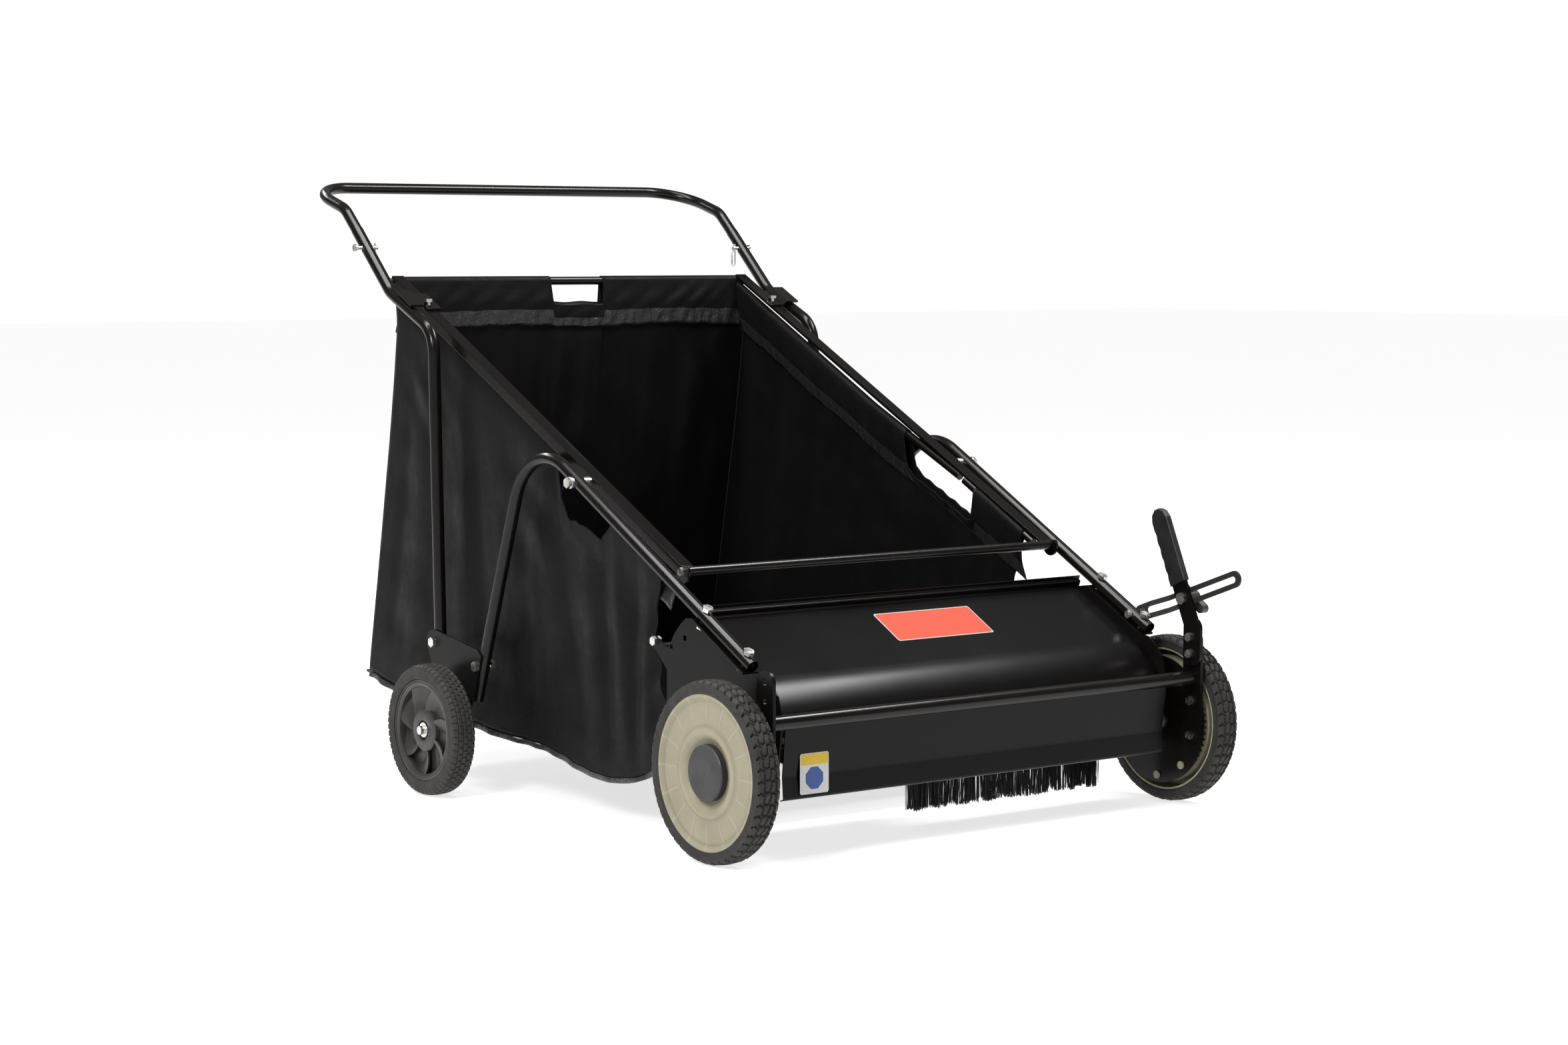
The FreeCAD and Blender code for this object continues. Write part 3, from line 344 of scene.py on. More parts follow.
def front_tread(u, x, half, pitch):
    """Groove depth, 0 to 1: four staggered columns of blocks with S-shaped cross grooves."""
    column = (x / half + 1) * 2
    wave = 0.17 * triangle_wave(u)
    between = np.abs((column + wave) - np.round(column + wave)) * half / 2
    inside = np.floor(column + wave)
    along = u + 0.5 * (inside % 2) + 0.28 * triangle_wave(column * 0.5 + 0.25)
    cross = (along - np.round(along)) * pitch
    rim = (np.round(column + wave) > 0) & (np.round(column + wave) < 4)
    return np.maximum(groove(between, 2.0 * MM) * rim * 0.8, groove(cross, 3.0 * MM))


def rear_tread(u, x, half, pitch):
    """A grid of small rectangular blocks, every other row shifted by half a block."""
    column = (x / half + 1) * 2.5
    between = np.abs(column - np.round(column)) * half / 2.5
    along = u + 0.5 * (np.floor(column) % 2)
    cross = (along - np.round(along)) * pitch
    rim = (np.round(column) > 0) & (np.round(column) < 5)
    return np.maximum(groove(between, 1.7 * MM) * rim, groove(cross, 1.9 * MM) * 0.9)


def tyre(side, end, seat, blocks, tread, pitch, depth, look):
    """A moulded tyre: rings on its sidewalls and real tread blocks, whose tops reach the CAD tyre's radius."""
    name = f"{end}_tyre_{side}"
    low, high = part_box(name)
    centre, half, outer = (low + high) / 2, (high.x - low.x) / 2, (high.z - low.z) / 2
    section = tyre_section(half, outer, seat, 1.15 * MM)
    steps = blocks * 12
    angle = np.arange(steps) * 2 * math.pi / steps
    x, radius = section[None, :, 0], section[None, :, 1]
    u = angle[:, None] * blocks / (2 * math.pi)
    lug = np.clip((radius - (outer - 9 * MM)) / (3 * MM), 0, 1)
    cut = tread(u, x, half, pitch) * lug * depth
    rings = 0.35 * MM * (np.sin((radius - seat) * 2 * math.pi / (3.1 * MM)) > 0.1) * (1 - lug)
    radius = radius - cut
    x = x - np.sign(x) * (rings + cut * 0.5 * (np.abs(x) > half - 3 * MM))
    points = np.stack([np.broadcast_to(centre.x + x, radius.shape), centre.y + radius * np.cos(angle[:, None]),
                       centre.z + radius * np.sin(angle[:, None])], axis=-1).reshape(-1, 3)
    obj = mesh_object(f"{end}_tyre_tread_{side}", points, ring_faces(steps, len(section)), [look],
                      f"{end}_wheel_{side}", smooth=28)
    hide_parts(name)


def revolved(profile, centre, steps, sign):
    """Points and faces of a closed (x, radius) profile turned about the X line through centre."""
    points = [(centre.x + sign * x, centre.y + r * math.cos(a), centre.z + r * math.sin(a))
              for a in (2 * math.pi * i / steps for i in range(steps)) for x, r in profile]
    return points, ring_faces(steps, len(profile))


def joined(parts):
    points, faces = [], []
    for more, quads in parts:
        base = len(points)
        points += list(more)
        faces += [tuple(base + i for i in quad) for quad in quads]
    return points, faces


def blade(centre, sign, start, inner, outer, back, front):
    """One twisted spoke, 3 mm thick, with its leading edge near the outer face and the other one deeper in."""
    rows, columns, points, faces = 9, 7, [], []
    for layer in (0.0, -3.0 * MM):
        for i in range(rows):
            r = inner + (outer - inner) * i / (rows - 1)
            width = math.radians(36 + 3 * i / (rows - 1))
            lean = math.radians(16) * (i / (rows - 1)) ** 1.4
            for j in range(columns):
                t = j / (columns - 1)
                a = start + lean + width * (t - 0.5) * 1.25
                dip = t * t * (3 - 2 * t)
                x = front + (back - front) * dip - 1.2 * MM * math.sin(math.pi * i / (rows - 1)) + layer
                points.append((centre.x + sign * x, centre.y + r * math.cos(a), centre.z + r * math.sin(a)))
    top = rows * columns

    def at(layer, i, j):
        return layer * top + i * columns + j
    for i in range(rows - 1):
        for j in range(columns - 1):
            for layer in (0, 1):
                corners = ((i, j), (i + 1, j), (i + 1, j + 1), (i, j + 1))
                faces.append(tuple(at(layer, *corner) for corner in corners))
    rim = [(0, j) for j in range(columns)] + [(i, columns - 1) for i in range(1, rows)]
    rim += [(rows - 1, j) for j in range(columns - 2, -1, -1)] + [(i, 0) for i in range(rows - 2, 0, -1)]
    for (i, j), (k, m) in zip(rim, rim[1:] + rim[:1]):
        faces.append((at(0, i, j), at(0, k, m), at(1, k, m), at(1, i, j)))
    return points, faces


def rear_hub(side):
    """Rear wheel: ringed rim, seven twisted spokes, and a recessed boss for the push nut."""
    name, sign = f"rear_hub_{side}", SIDES[side]
    low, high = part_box(name)
    centre = Vector((0, (low.y + high.y) / 2, (low.z + high.z) / 2))
    outer_x = max(abs(low.x), abs(high.x))
    face = outer_x - 1 * MM
    bore = 6.05 * MM
    rim = [(face - 0.8 * MM, 72 * MM), (face, 71 * MM), (face, 69.5 * MM), (face - 1.2 * MM, 69 * MM),
           (face - 1.2 * MM, 67.5 * MM), (face - 0.4 * MM, 67 * MM), (face - 0.6 * MM, 64.5 * MM),
           (face - 2.4 * MM, 62.2 * MM), (face - 7 * MM, 61.2 * MM), (face - 30 * MM, 61.8 * MM),
           (face - 33.5 * MM, 63.5 * MM), (face - 33.5 * MM, 72 * MM)]
    boss_x = outer_x - 7.7 * MM
    collar_x = outer_x - 3.7 * MM
    boss = [(boss_x, bore), (boss_x, 13.5 * MM), (collar_x - 0.6 * MM, 13.7 * MM), (collar_x, 14.6 * MM),
            (collar_x, 17.5 * MM), (collar_x - 0.9 * MM, 18.2 * MM), (collar_x - 0.9 * MM, 27.5 * MM),
            (collar_x - 2.2 * MM, 30.2 * MM), (collar_x - 6 * MM, 31 * MM), (collar_x - 24 * MM, 28 * MM),
            (low.x * sign + 1 * MM if sign > 0 else -high.x + 1 * MM, 19 * MM),
            (low.x * sign if sign > 0 else -high.x, 18 * MM), (low.x * sign if sign > 0 else -high.x, bore)]
    web = [(face - 11 * MM, 24 * MM), (face - 14 * MM, 64 * MM), (face - 17 * MM, 64 * MM),
           (face - 17 * MM, 24 * MM)]
    parts = [revolved(rim, centre, 96, sign), revolved(boss, centre, 72, sign), revolved(web, centre, 72, sign)]
    for i in range(7):
        parts.append(blade(centre, sign, 2 * math.pi * i / 7 + 0.3, 28 * MM, 62.5 * MM, face - 15 * MM,
                           face - 3.5 * MM))
    points, faces = joined(parts)
    obj = mesh_object(f"rear_wheel_hub_{side}", points, faces, [HUB_PLASTIC],
                      f"rear_wheel_{side}", smooth=38)
    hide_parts(name)


# ---------------------------------------------------------------- brush
def strand(points, faces, path, radius):
    """A three-sided filament along a short path; each step of the path is (x, y, z)."""
    base = len(points)
    for p in path:
        for k in range(3):
            a = 2 * math.pi * k / 3
            points.append((p[0] + radius * math.cos(a), p[1] + radius * math.sin(a) * 0.7,
                           p[2] + radius * math.sin(a) * 0.7))
    for i in range(len(path) - 1):
        for k in range(3):
            a, b = base + 3 * i + k, base + 3 * i + (k + 1) % 3
            faces.append((a, b, b + 3, a + 3))
    faces.append((base, base + 2, base + 1))
    last = base + 3 * (len(path) - 1)
    faces.append((last, last + 1, last + 2))


def bristle_rows(name, seed):
    """Two opposite rows of filaments in tufts, ragged at the tips, in the space of the CAD rows."""
    rng = random.Random(seed)
    low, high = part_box(name)
    axis = (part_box("brush_shaft")[0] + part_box("brush_shaft")[1]) / 2
    upright = high.z - low.z > high.y - low.y
    reach = max(high.z - low.z, high.y - low.y) / 2
    points, faces = [], []
    pitch = 5.2 * MM
    tufts = int((high.x - low.x) / pitch)
    for sign in (1, -1):
        for i in range(tufts):
            middle = low.x + (i + 0.5) * pitch
            thick = i < 7 or rng.random() < 0.5
            tuft_lean = rng.gauss(0, 1.6 * MM)
            tuft_long = reach * (1 - abs(rng.gauss(0, 0.035)))
            for _ in range(26 if thick else 13):
                x = middle + rng.uniform(-0.5, 0.5) * pitch * 1.2
                off = rng.uniform(-3.2, 3.2) * MM
                long = min(reach, tuft_long * (1 - abs(rng.gauss(0, 0.02))))
                if rng.random() < 0.07:
                    long *= rng.uniform(0.8, 0.95)
                drift, sweep = tuft_lean + rng.gauss(0, 1.3 * MM), rng.gauss(0, 1.5 * MM)
                path = []
                for k in range(5):
                    t = k / 4
                    out = sign * (20 * MM + (long - 20 * MM) * t)
                    side = off + sweep * t * t
                    px = min(max(x + drift * t * t, low.x + 0.6 * MM), high.x - 0.6 * MM)
                    path.append((px, axis.y + (side if upright else out), axis.z + (out if upright else side)))
                strand(points, faces, path, rng.uniform(0.42, 0.62) * MM)
    obj = mesh_object(name.replace("bristles", "brush_filaments"), points, faces, [SLOT_LOOKS["bristle"]],
                      "brush", smooth=80)
    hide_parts(name)


# ---------------------------------------------------------------- hopper bag
RAIL_LOW, RAIL_HIGH = (164.7, 354.5), (887.0, 730.5)     # (run, height) of the rails' top fold
RAIL_RISE = (RAIL_HIGH[1] - RAIL_LOW[1]) / (RAIL_HIGH[0] - RAIL_LOW[0])
RAIL_ANGLE = math.atan(RAIL_RISE)
SIDE_ROD_X = 308.4
SLEEVE_R = 6.75
WALL_X = 317.6
BAG_LENGTH = (202.0, 881.0)
NOTCH = (307.0, 460.0)
HAND_HALF = 48.0
HAND_SILL = 690.0
REAR_ROD = (890.3, 721.7)
REAR_SLEEVE_R = 7.1
FLAP = 68.0
FLAP_ROWS, ARC_ROWS, WALL_ROWS = 14, 8, 92
# (run, height) along the bag's bottom seam, and up its rear
BOTTOM = [(202, 140), (210, 112), (222, 93), (238, 81), (256, 73), (287, 64), (320, 59), (354, 57), (388, 59),
          (416, 64), (445, 71), (492, 82), (540, 85.5), (588, 86), (640, 88.5), (672, 93), (780, 107),
          (904, 123.5), (974, 139)]
REAR = [(974, 139), (972, 156), (942, 310), (907, 500), (893, 590), (884, 660), (888, 695), (897.4, 721.7)]


def rail_height(run):
    return RAIL_LOW[1] + (run - RAIL_LOW[0]) * RAIL_RISE


def rod_drop(run):
    """How far the side rods' axis lies below the rails' fold, square to it."""
    return np.interp(run, [184, 333, 343, 540, 866, 900], [12.4, 10.2, 10.2, 18.0, 15.5, 15.5])


def line_at(points, share):
    """Point on a polyline at a share of its length."""
    points = np.asarray(points, float)
    runs = np.concatenate([[0], np.cumsum(np.linalg.norm(np.diff(points, axis=0), axis=1))])
    return np.stack([np.interp(np.asarray(share) * runs[-1], runs, points[:, k]) for k in (0, 1)], axis=-1)


def smoothed(points, share):
    """The same, with the corners rounded by averaging close neighbours."""
    return sum(line_at(points, np.clip(share + d, 0, 1)) for d in (-0.02, -0.01, 0, 0.01, 0.02)) / 5


def bell(value, middle, width):
    return np.exp(-((value - middle) / width) ** 2)


def crumple(a, b, seed, waves=9, low=0.012, high=0.05):
    """Smooth pseudo-random height over two coordinates in millimetres, about -1 to 1."""
    rng = np.random.default_rng(seed)
    total = np.zeros(np.broadcast(a, b).shape)
    for _ in range(waves):
        k, turn, phase = rng.uniform(low, high) * 2 * math.pi, rng.uniform(0, math.pi), rng.uniform(0, 6.28)
        total = total + np.sin(k * (a * math.cos(turn) + b * math.sin(turn)) + phase)
    return total / math.sqrt(waves)


def creases(run, height, table):
    """Hanging folds, each (place at height 250, width, depth, lean, middle height, half height)."""
    total = 0.0
    for spot, width, depth, lean, middle, reach in table:
        middle_line = spot + lean * (height - 250) + 5 * np.sin(height / 85 + spot)
        total = total + 0.62 * depth * bell(run, middle_line, width * 1.25) * bell(height, middle, reach)
    return total


WALL_CREASES = [(250, 13, 6.5, -0.05, 190, 130), (283, 10, -5.5, 0.03, 200, 140), (318, 15, 7.5, 0.06, 210, 150),
                (352, 11, -5.0, 0.10, 220, 150), (392, 16, 6.0, 0.10, 230, 150), (437, 12, -4.0, 0.16, 260, 130),
                (486, 18, 4.5, 0.16, 280, 140), (545, 14, -3.0, 0.10, 330, 150), (600, 20, 4.0, 0.08, 350, 170),
                (668, 14, -3.2, 0.02, 360, 190), (722, 18, 4.2, -0.04, 380, 190), (790, 15, -3.4, -0.10, 380, 210),
                (850, 20, 4.4, -0.16, 380, 220), (905, 14, -3.0, -0.2, 360, 200)]
REAR_CREASES = [(-270, 14, 5.0, -0.06, 470, 190), (-232, 10, -3.6, -0.04, 480, 170), (-186, 17, 6.0, 0.05, 470, 200),
                (-140, 11, -4.2, 0.08, 500, 160), (-92, 12, 4.8, 0.10, 520, 150), (-55, 8, -4.4, 0.06, 540, 130),
                (-18, 13, 6.2, 0.05, 520, 170), (24, 10, -4.2, -0.02, 510, 160), (66, 15, 4.6, 0.03, 480, 180),
                (122, 12, -3.4, 0.06, 470, 180), (172, 17, 5.0, 0.05, 450, 190), (226, 12, -3.6, -0.02, 470, 170),
                (268, 13, 4.2, -0.05, 480, 170)]


# (run, depth below the side rod) round each side opening's lower edge; the left one is torn wider
NOTCH_EDGE = {"left": [(307, 0), (320, 14), (332, 31), (356, 67), (392, 69), (434, 80), (450, 60), (460, 0)],
              "right": [(307, 0), (312, 43), (330, 47), (430, 47), (452, 42), (460, 0)]}


def notch_depth(run, side, seed):
    """Depth of the side opening below the rod at a run; its lower edge is frayed."""
    corners = NOTCH_EDGE[side]
    depth = np.interp(run, [c[0] for c in corners], [c[1] for c in corners])
    return depth + 1.3 * crumple(run, 0 * run, seed, 6, 0.03, 0.11) * (depth > 5)


class Shell:
    """Collects grids of points in (x, run, height) millimetres, with a look for each face."""

    def __init__(self):
        self.points, self.faces, self.looks = [], [], []

    def grid(self, points, keep, look):
        rows, columns = points.shape[:2]
        base = len(self.points)
        self.points += [tuple(p) for p in points.reshape(-1, 3)]
        for i in range(rows - 1):
            for j in range(columns - 1):
                if keep[i, j]:
                    a = base + i * columns + j
                    self.faces.append((a, a + 1, a + columns + 1, a + columns))
                    self.looks.append(look[i, j])

    def build(self, name, thickness):
        points = np.array(self.points) * MM
        points[:, 1] += AXLE_Y
        obj = mesh_object(name, points, self.faces, [FABRIC, TAPE], "hopper", self.looks, 60)
        weld = obj.modifiers.new("weld", "WELD")
        weld.merge_threshold = 0.0002
        thick = obj.modifiers.new("thick", "SOLIDIFY")
        thick.thickness = thickness
        thick.offset = 0.0
        bake_modifiers(obj)
        return obj


def bake_modifiers(obj):
    graph = bpy.context.evaluated_depsgraph_get()
    done = bpy.data.meshes.new_from_object(obj.evaluated_get(graph))
    obj.modifiers.clear()
    obj.data = done


def wall_columns():
    """Runs of the wall's columns, with lines on both ends of the side opening."""
    first = np.linspace(BAG_LENGTH[0], NOTCH[0], 24)
    second = np.linspace(NOTCH[0] + 2.5, NOTCH[1] - 2.5, 40)
    third = np.linspace(NOTCH[1], BAG_LENGTH[1], 92)
    return np.concatenate([first, second, third])


def wall_points(side):
    """One side of the bag: from its bottom seam up the outside, over the side rod and down inside."""
    sign = SIDES[side]
    seed = 11 if side == "left" else 23
    run = wall_columns()
    u = (run - BAG_LENGTH[0]) / (BAG_LENGTH[1] - BAG_LENGTH[0])
    inside = (run > NOTCH[0] + 1) & (run < NOTCH[1] - 1)
    drop = rod_drop(run)
    rod = np.stack([run + drop * math.sin(RAIL_ANGLE), rail_height(run) - drop * math.cos(RAIL_ANGLE)], axis=-1)
    depth = np.where(inside, notch_depth(run, side, seed), 0.0)
    v = np.linspace(0, 1, WALL_ROWS)
    bottom, rear = smoothed(BOTTOM, u), smoothed(REAR, v)
    blend_end = np.clip((u - 0.93) / 0.07, 0, 1)[:, None] ** 2
    top = rod * (1 - blend_end) + (rod + (rear[-1] - rod[-1])) * blend_end
    front = np.stack([BAG_LENGTH[0] + (rod[0, 0] - BAG_LENGTH[0]) * v,
                      bottom[0, 1] + (rod[0, 1] - bottom[0, 1]) * v], axis=-1)
    front[:, 0] += 30.0 * np.sin(math.pi * np.clip(v, 0, 1) ** 1.3) ** 0.7 + 2.5 * np.sin(front[:, 1] / 9)
    uu, vv = u[None, :, None], v[:, None, None]
    flat = (1 - vv) * bottom[None] + vv * top[None] + (1 - uu) * front[:, None] + uu * rear[:, None]
    flat -= ((1 - uu) * (1 - vv) * bottom[0] + uu * (1 - vv) * bottom[-1] + (1 - uu) * vv * top[0]
             + uu * vv * top[-1])
    flat[..., 1] -= depth[None, :] * np.clip((vv[..., 0] - 0.55) / 0.45, 0, 1) ** 2
    y, z = flat[..., 0], flat[..., 1]
    hang = np.clip(vv[..., 0] * 7, 0, 1) * np.clip((1 - vv[..., 0]) * 5, 0, 1)
    edge = np.clip((1 - uu[..., 0]) * 14, 0, 1)
    folds = creases(y, z, WALL_CREASES)
    pulls = 1.5 * np.sin((y * 0.72 - z * 0.7) / 12.5 + seed) * bell(y, 520, 90) * bell(z, 400, 70)
    pulls += 1.2 * np.sin((y * 0.8 - z * 0.6) / 9.0 + seed) * bell(y, 800, 70) * bell(z, 560, 60)
    front_wrinkles = 4.6 * np.sin(z / 11 + y / 15) * bell(y, 215, 34) * bell(z, 230, 80)
    bow = -6.0 * bell(y, 620, 330) * bell(z, 260, 190)
    out = (folds + pulls + front_wrinkles + bow + 0.8 * crumple(y, z, seed, 12, 0.003, 0.012)) * hang * edge
    out += 0.1 * crumple(y, z, seed + 1, 14, 0.03, 0.07) * hang
    near_rod = np.clip((vv[..., 0] - 0.93) / 0.07, 0, 1) ** 1.5 * (~inside)[None, :]
    x = WALL_X + out - (WALL_X - SIDE_ROD_X - SLEEVE_R) * near_rod
    wall = np.stack([x, y, z], axis=-1)
    arc = []
    for k in range(1, ARC_ROWS + 1):
        a = math.pi * k / ARC_ROWS
        arc.append(np.stack([SIDE_ROD_X + SLEEVE_R * math.cos(a) + 0 * run,
                             top[:, 0] - SLEEVE_R * math.sin(a) * math.sin(RAIL_ANGLE),
                             top[:, 1] + SLEEVE_R * math.sin(a) * math.cos(RAIL_ANGLE)], axis=-1))
    flap = []
    for k in range(1, FLAP_ROWS + 1):
        t = k / FLAP_ROWS
        reach = np.maximum(FLAP + 1.6 * np.sin(run / 31 + seed) + 0.8 * np.sin(run / 7.3), depth + 9)
        fall = depth + (reach - depth) * t
        spot_z = top[:, 1] - fall
        base_x = SIDE_ROD_X - SLEEVE_R + (WALL_X - 3.4 - SIDE_ROD_X + SLEEVE_R) * t ** 1.6
        drape = 2.6 * np.sin((run + 0.9 * fall) / 15 + seed) * bell(t, 0.5, 0.28)
        pucker = 1.1 * np.sin(run / 2.9 + 1.7 * np.sin(run / 23) + t * 2) * np.clip((t - 0.62) * 6, 0, 1)
        pucker = pucker * np.clip((1.02 - t) * 8, 0.35, 1)
        flap.append(np.stack([base_x - np.abs(drape) - 0.7 - pucker * 0.8, top[:, 0] + 0 * run, spot_z], axis=-1))
    points = np.concatenate([wall, np.array(arc), np.array(flap)])
    points[..., 0] *= sign
    total = points.shape[0] - 1
    keep = np.ones((total, len(run) - 1), bool)
    cut = inside[:-1] | inside[1:]
    keep[WALL_ROWS - 1:WALL_ROWS + ARC_ROWS, :][:, cut] = False
    if side == "left":
        keep[WALL_ROWS - 1:, :][:, cut] = False
    look = np.zeros((total, len(run) - 1), int)
    look[WALL_ROWS - 1 + ARC_ROWS + round(FLAP_ROWS * 0.62):, :] = 1
    return points, keep, look


def across_columns():
    left = np.linspace(-WALL_X, -HAND_HALF, 58)
    middle = np.linspace(-HAND_HALF + 2.5, HAND_HALF - 2.5, 24)
    return np.concatenate([left, middle, -left[::-1]])


def rear_points():
    """The rear of the bag: up the outside, over the rear rod and down the inside of the hem."""
    x = across_columns()
    hole = np.abs(x) < HAND_HALF - 1
    v = np.linspace(0, 1, WALL_ROWS)
    rear = smoothed(REAR, v)
    y = np.repeat(rear[:, :1], len(x), axis=1)
    z = np.repeat(rear[:, 1:], len(x), axis=1)
    sill = HAND_SILL + 0.8 * np.sin(x / 9)
    z = np.where(hole[None, :], np.minimum(z, 500 + (z - 500) * ((sill - 500) / (z[-1, 0] - 500))[None, :]), z)
    edge = np.clip((WALL_X - np.abs(x)) / 40, 0, 1)[None, :]
    hang = np.clip(v * 8, 0, 1)[:, None] * np.clip((1 - v) * 6, 0, 1)[:, None]
    folds = creases(x[None, :], z, REAR_CREASES)
    corner = 2.4 * np.sin((x + z * 0.9) / 15) * bell(x, 262, 46) * bell(z, 560, 60)
    back = (folds + corner + 1.0 * crumple(x[None, :], z, 41, 12, 0.003, 0.012)) * edge * hang
    back -= 7.0 * edge * bell(z, 330, 210)
    y = y - np.abs(back) * 0.4 + back
    rows = np.stack([np.repeat(x[None, :], WALL_ROWS, axis=0), y, z], axis=-1)
    arc = []
    for k in range(1, ARC_ROWS + 1):
        a = math.pi * k / ARC_ROWS
        arc.append(np.stack([x, REAR_ROD[0] + REAR_SLEEVE_R * math.cos(a) + 0 * x,
                             REAR_ROD[1] + REAR_SLEEVE_R * math.sin(a) + 0 * x], axis=-1))
    flap = []
    for k in range(1, FLAP_ROWS + 1):
        t = k / FLAP_ROWS
        start = np.where(hole, REAR_ROD[1] - sill, 0.0)
        reach = FLAP + 1.8 * np.sin(x / 47 + 1) + 0.7 * np.sin(x / 8.1)
        fall = start + (reach - start) * t
        inner = np.interp(fall, [0, 30, 70], [REAR_ROD[0] - REAR_SLEEVE_R, 879.5, 878.5])
        drape = 2.2 * np.sin((x * 0.8 + fall * 1.1) / 13) * bell(t, 0.5, 0.3)
        drape += 3.2 * np.sin((x + fall * 1.4) / 11) * bell(x, 255, 60) * bell(t, 0.5, 0.4)
        pucker = 1.2 * np.sin(x / 3.1 + 1.9 * np.sin(x / 19) + t * 2) * np.clip((t - 0.62) * 6, 0, 1)
        pucker = pucker * np.clip((1.02 - t) * 8, 0.35, 1)
        flap.append(np.stack([x * (1 - 0.002 * k), inner - np.abs(drape) - pucker, REAR_ROD[1] - fall], axis=-1))
    points = np.concatenate([rows, np.array(arc), np.array(flap)])
    total = points.shape[0] - 1
    keep = np.ones((total, len(x) - 1), bool)
    cut = hole[:-1] | hole[1:]
    keep[WALL_ROWS - 1:WALL_ROWS + ARC_ROWS, :][:, cut] = False
    look = np.zeros((total, len(x) - 1), int)
    look[WALL_ROWS - 1 + ARC_ROWS + round(FLAP_ROWS * 0.62):, :] = 1
    return points, keep, look


def bottom_points():
    """The bag's floor, from the rear seam to its front lip."""
    x, run = across_columns(), wall_columns()
    u = (run - BAG_LENGTH[0]) / (BAG_LENGTH[1] - BAG_LENGTH[0])
    low = smoothed(BOTTOM, u)
    y = np.repeat(low[:, :1], len(x), axis=1)
    z = np.repeat(low[:, 1:], len(x), axis=1)
    edge = np.clip((WALL_X - np.abs(x)) / 60, 0, 1)[None, :] * np.clip(np.minimum(u, 1 - u) * 12, 0, 1)[:, None]
    z = z + np.abs(2.4 * crumple(x[None, :], y, 71, 12, 0.004, 0.02)) * edge
    points = np.stack([np.repeat(x[None, :], len(run), axis=0), y, z], axis=-1)
    shape = (len(run) - 1, len(x) - 1)
    return points, np.ones(shape, bool), np.zeros(shape, int)


def binding(name, path, outward, width, thickness, seed):
    """A folded strip sewn over a seam: path is (x, run, height), outward the way it stands off the seam."""
    path = np.asarray(path, float)
    outward = np.asarray(outward, float)
    wave = crumple(np.arange(len(path)) * 6.0, 0.0, seed, 8, 0.006, 0.03)
    points = []
    along = np.gradient(path, axis=0)
    along /= np.linalg.norm(along, axis=1)[:, None]
    for p, way, w in zip(path, along, wave):
        away = outward - way * outward.dot(way)
        away /= np.linalg.norm(away)
        across = np.cross(way, away)
        away = away + across * 0.25 * w
        for a, c in ((0, -0.5), (0.75, -0.5), (1, 0), (0.75, 0.5), (0, 0.5)):
            points.append(p + away * (width * a + 0.8 * w) + across * thickness * c)
    n = len(path)
    faces = [(5 * i + j, 5 * i + 5 + j, 5 * i + 5 + (j + 1) % 5, 5 * i + (j + 1) % 5)
             for i in range(n - 1) for j in range(5)]
    faces += [(4, 3, 2, 1, 0), tuple(5 * (n - 1) + j for j in range(5))]
    points = np.array(points) * MM
    points[:, 1] += AXLE_Y
    return mesh_object(name, points, faces, [TAPE], "hopper", smooth=50)


def hopper_bag():
    shell = Shell()
    for side in SIDES:
        shell.grid(*wall_points(side))
    shell.grid(*rear_points())
    shell.grid(*bottom_points())
    bag = shell.build("hopper_fabric", 0.9 * MM)
    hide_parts("hopper_bag")
    share = np.linspace(0, 1, 150)
    low, rear = smoothed(BOTTOM, share), smoothed(REAR, np.linspace(0, 0.9, 100))
    for side, sign in SIDES.items():
        path = np.column_stack([np.full(150, sign * WALL_X), low])
        binding(f"bottom_binding_{side}", path, (sign * 0.35, 0.0, -0.94), 7.0, 2.4, 5 + sign)
    across = np.linspace(-WALL_X, WALL_X, 110)
    path = np.column_stack([across, np.full((110, 1), low[-1, 0]), np.full((110, 1), low[-1, 1])])
    binding("rear_binding", path, (0, 0.9, -0.43), 7.0, 2.4, 9)


# ---------------------------------------------------------------- plate and label on the housing
def thin_plate(name, corners, lift, thickness, look, inset=0.0, cut=2.0 * MM):
    """A thin printed plate on the plane of four row-frame corners, given in order round it."""
    a, b, c, d = (Vector(p) for p in corners)
    across, up = (b - a).normalized(), (d - a).normalized()
    normal = across.cross(up).normalized()
    up = normal.cross(across)
    middle = (a + b + c + d) / 4
    half_w, half_h = (b - a).length / 2 - inset, (d - a).length / 2 - inset
    points, faces = bevelled_box((half_w, half_h, thickness), cut)
    turn = Matrix((across, up, normal)).transposed()
    points = [middle + turn @ Vector(p) + normal * lift for p in points]
    obj = mesh_object(name, points, faces, [look], "root", smooth=30)
    return obj


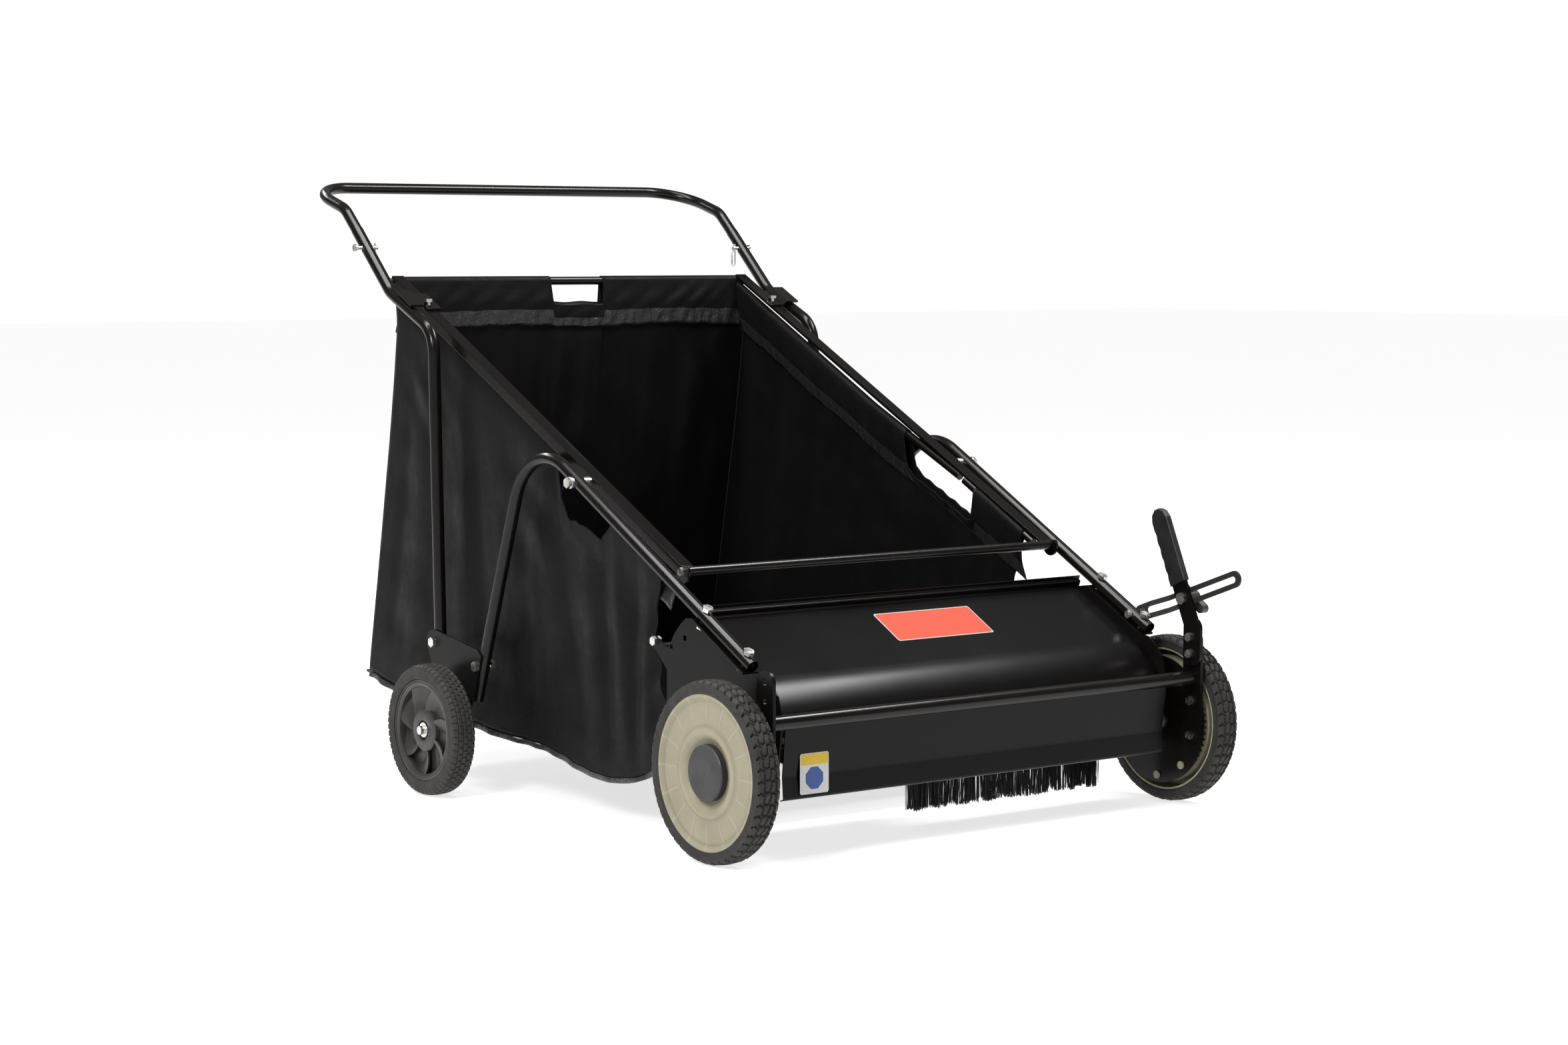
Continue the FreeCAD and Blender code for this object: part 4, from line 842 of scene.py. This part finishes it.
def housing_prints():
    """Plain orange plate on the cover and a blank caution-coloured label on the front panel, with no marks."""
    run_low, run_high = 43.6, 99.3
    slope = math.radians(28.75)

    def on_cover(x, run):
        height = 294.3 + (run - 119.9) * math.tan(slope)
        return Vector((x * MM, run * MM + AXLE_Y, height * MM))
    corners = [on_cover(-61, run_low), on_cover(106, run_low), on_cover(106, run_high), on_cover(-61, run_high)]
    thin_plate("cover_plate_edge", corners, 0.25 * MM, 0.45 * MM, plain_print("plate_edge", (0.38, 0.37, 0.35)))
    thin_plate("cover_plate", corners, 0.55 * MM, 0.45 * MM, plain_print("plate_orange", (0.47, 0.040, 0.010)),
               1.8 * MM)

    def on_panel(x, height):
        return Vector((x * MM, PANEL_LABEL_RUN * MM + AXLE_Y, height * MM))
    white = [on_panel(-305, 85), on_panel(-259, 85), on_panel(-259, 137), on_panel(-305, 137)]
    yellow = [on_panel(-304, 122), on_panel(-260, 122), on_panel(-260, 136), on_panel(-304, 136)]
    blue = [on_panel(-296, 91), on_panel(-268, 91), on_panel(-268, 119), on_panel(-296, 119)]
    thin_plate("label_ground", white, 0.1 * MM, 0.3 * MM, plain_print("label_white", (0.44, 0.44, 0.43)))
    thin_plate("label_band", yellow, 0.35 * MM, 0.2 * MM, plain_print("label_yellow", (0.52, 0.34, 0.02)))
    thin_plate("label_field", blue, 0.35 * MM, 0.2 * MM, plain_print("label_blue", (0.022, 0.06, 0.2)),
               cut=8.5 * MM)


PANEL_LABEL_RUN = -54.6


# ---------------------------------------------------------------- studio
def look_at(obj, target):
    obj.rotation_euler = (Vector(target) - obj.location).to_track_quat("-Z", "Y").to_euler()


def area_light(name, spot, target, size, power, colour=(1, 1, 1)):
    lamp = bpy.data.lights.new(name, "AREA")
    lamp.shape, lamp.size, lamp.size_y, lamp.energy, lamp.color = "RECTANGLE", size[0], size[1], power, colour
    obj = bpy.data.objects.new(name, lamp)
    obj.location = spot
    look_at(obj, target)
    bpy.context.scene.collection.objects.link(obj)


WORLD_LIGHT = 0.5
WORLD_GLOSS = 0.22
FLOOR_GLOW = 0.72
LAMPS = (  # name, place, target, size and power
    ("key_left", (-3.4, -1.6, 2.7), (0, -0.1, 0.3), (1.0, 1.0), 130),
    ("band_front", (1.45, -0.95, 2.8), (0, -0.4, 0.25), (1.5, 0.45), 75),
    ("strip_top", (-0.9, 0.3, 3.3), (0, 0.2, 0.4), (0.45, 3.0), 100),
    ("rim_rear", (-0.6, 3.2, 2.8), (0, 0.2, 0.4), (2.2, 0.5), 60))


def studio():
    scene = bpy.context.scene
    scene.view_settings.view_transform = "Standard"
    mesh = bpy.data.meshes.new("floor")
    reach = 30.0
    mesh.from_pydata([(-reach, -reach, 0), (reach, -reach, 0), (reach, reach, 0), (-reach, reach, 0)], [],
                     [(0, 1, 2, 3)])
    floor = bpy.data.objects.new("floor", mesh)
    floor.location.z = -0.0005
    paper = material("studio_paper", 0.9, Specular_IOR_Level=0.1)
    finish_material(paper, mixed(paper, spread(paper, noise(paper, 3), 0, 1), (0.50, 0.50, 0.50),
                                 (0.51, 0.51, 0.51)))
    glow = paper.node_tree.nodes["Principled BSDF"].inputs
    glow["Emission Color"].default_value, glow["Emission Strength"].default_value = (1, 1, 1, 1), FLOOR_GLOW
    mesh.materials.append(paper)
    scene.collection.objects.link(floor)
    world = bpy.data.worlds.new("studio")
    scene.world = world
    world.use_nodes = True
    tree = world.node_tree
    tree.nodes["Background"].inputs["Color"].default_value = (1.0, 1.0, 1.0, 1)
    ray = tree.nodes.new("ShaderNodeLightPath")
    level = tree.nodes.new("ShaderNodeMapRange")
    level.inputs["To Min"].default_value = WORLD_LIGHT
    level.inputs["To Max"].default_value = WORLD_GLOSS
    tree.links.new(ray.outputs["Is Glossy Ray"], level.inputs["Value"])
    seen = tree.nodes.new("ShaderNodeMath")
    seen.operation = "MAXIMUM"
    tree.links.new(level.outputs["Result"], seen.inputs[0])
    tree.links.new(ray.outputs["Is Camera Ray"], seen.inputs[1])
    tree.links.new(seen.outputs[0], tree.nodes["Background"].inputs["Strength"])
    for lamp in LAMPS:
        area_light(*lamp)


def camera():
    scene = bpy.context.scene
    lens = bpy.data.cameras.new("camera")
    lens.lens, lens.sensor_width = 74.73, 36.0
    lens.clip_end = 100
    obj = bpy.data.objects.new("camera", lens)
    ahead = Vector((0.6117, 0.7868, -0.0820)).normalized()
    right = Vector((0.7895, -0.6138, 0.0)).normalized()
    up = right.cross(ahead)
    turn = Matrix((right, up, -ahead)).transposed().to_4x4()
    obj.matrix_world = Matrix.Translation((-2.8019, -3.70443, 0.7612)) @ turn
    scene.collection.objects.link(obj)
    scene.camera = obj


paint_cad()
for side in SIDES:
    tyre(side, "front", 99.3 * MM, 48, front_tread, 15.2 * MM, 3.4 * MM, FRONT_RUBBER)
    tyre(side, "rear", 72.0 * MM, 58, rear_tread, 10.1 * MM, 1.9 * MM, REAR_RUBBER)
    rear_hub(side)
bristle_rows("bristles_left", 3)
bristle_rows("bristles_right", 4)
hopper_bag()
housing_prints()
studio()
camera()

bpy.context.view_layer.update()
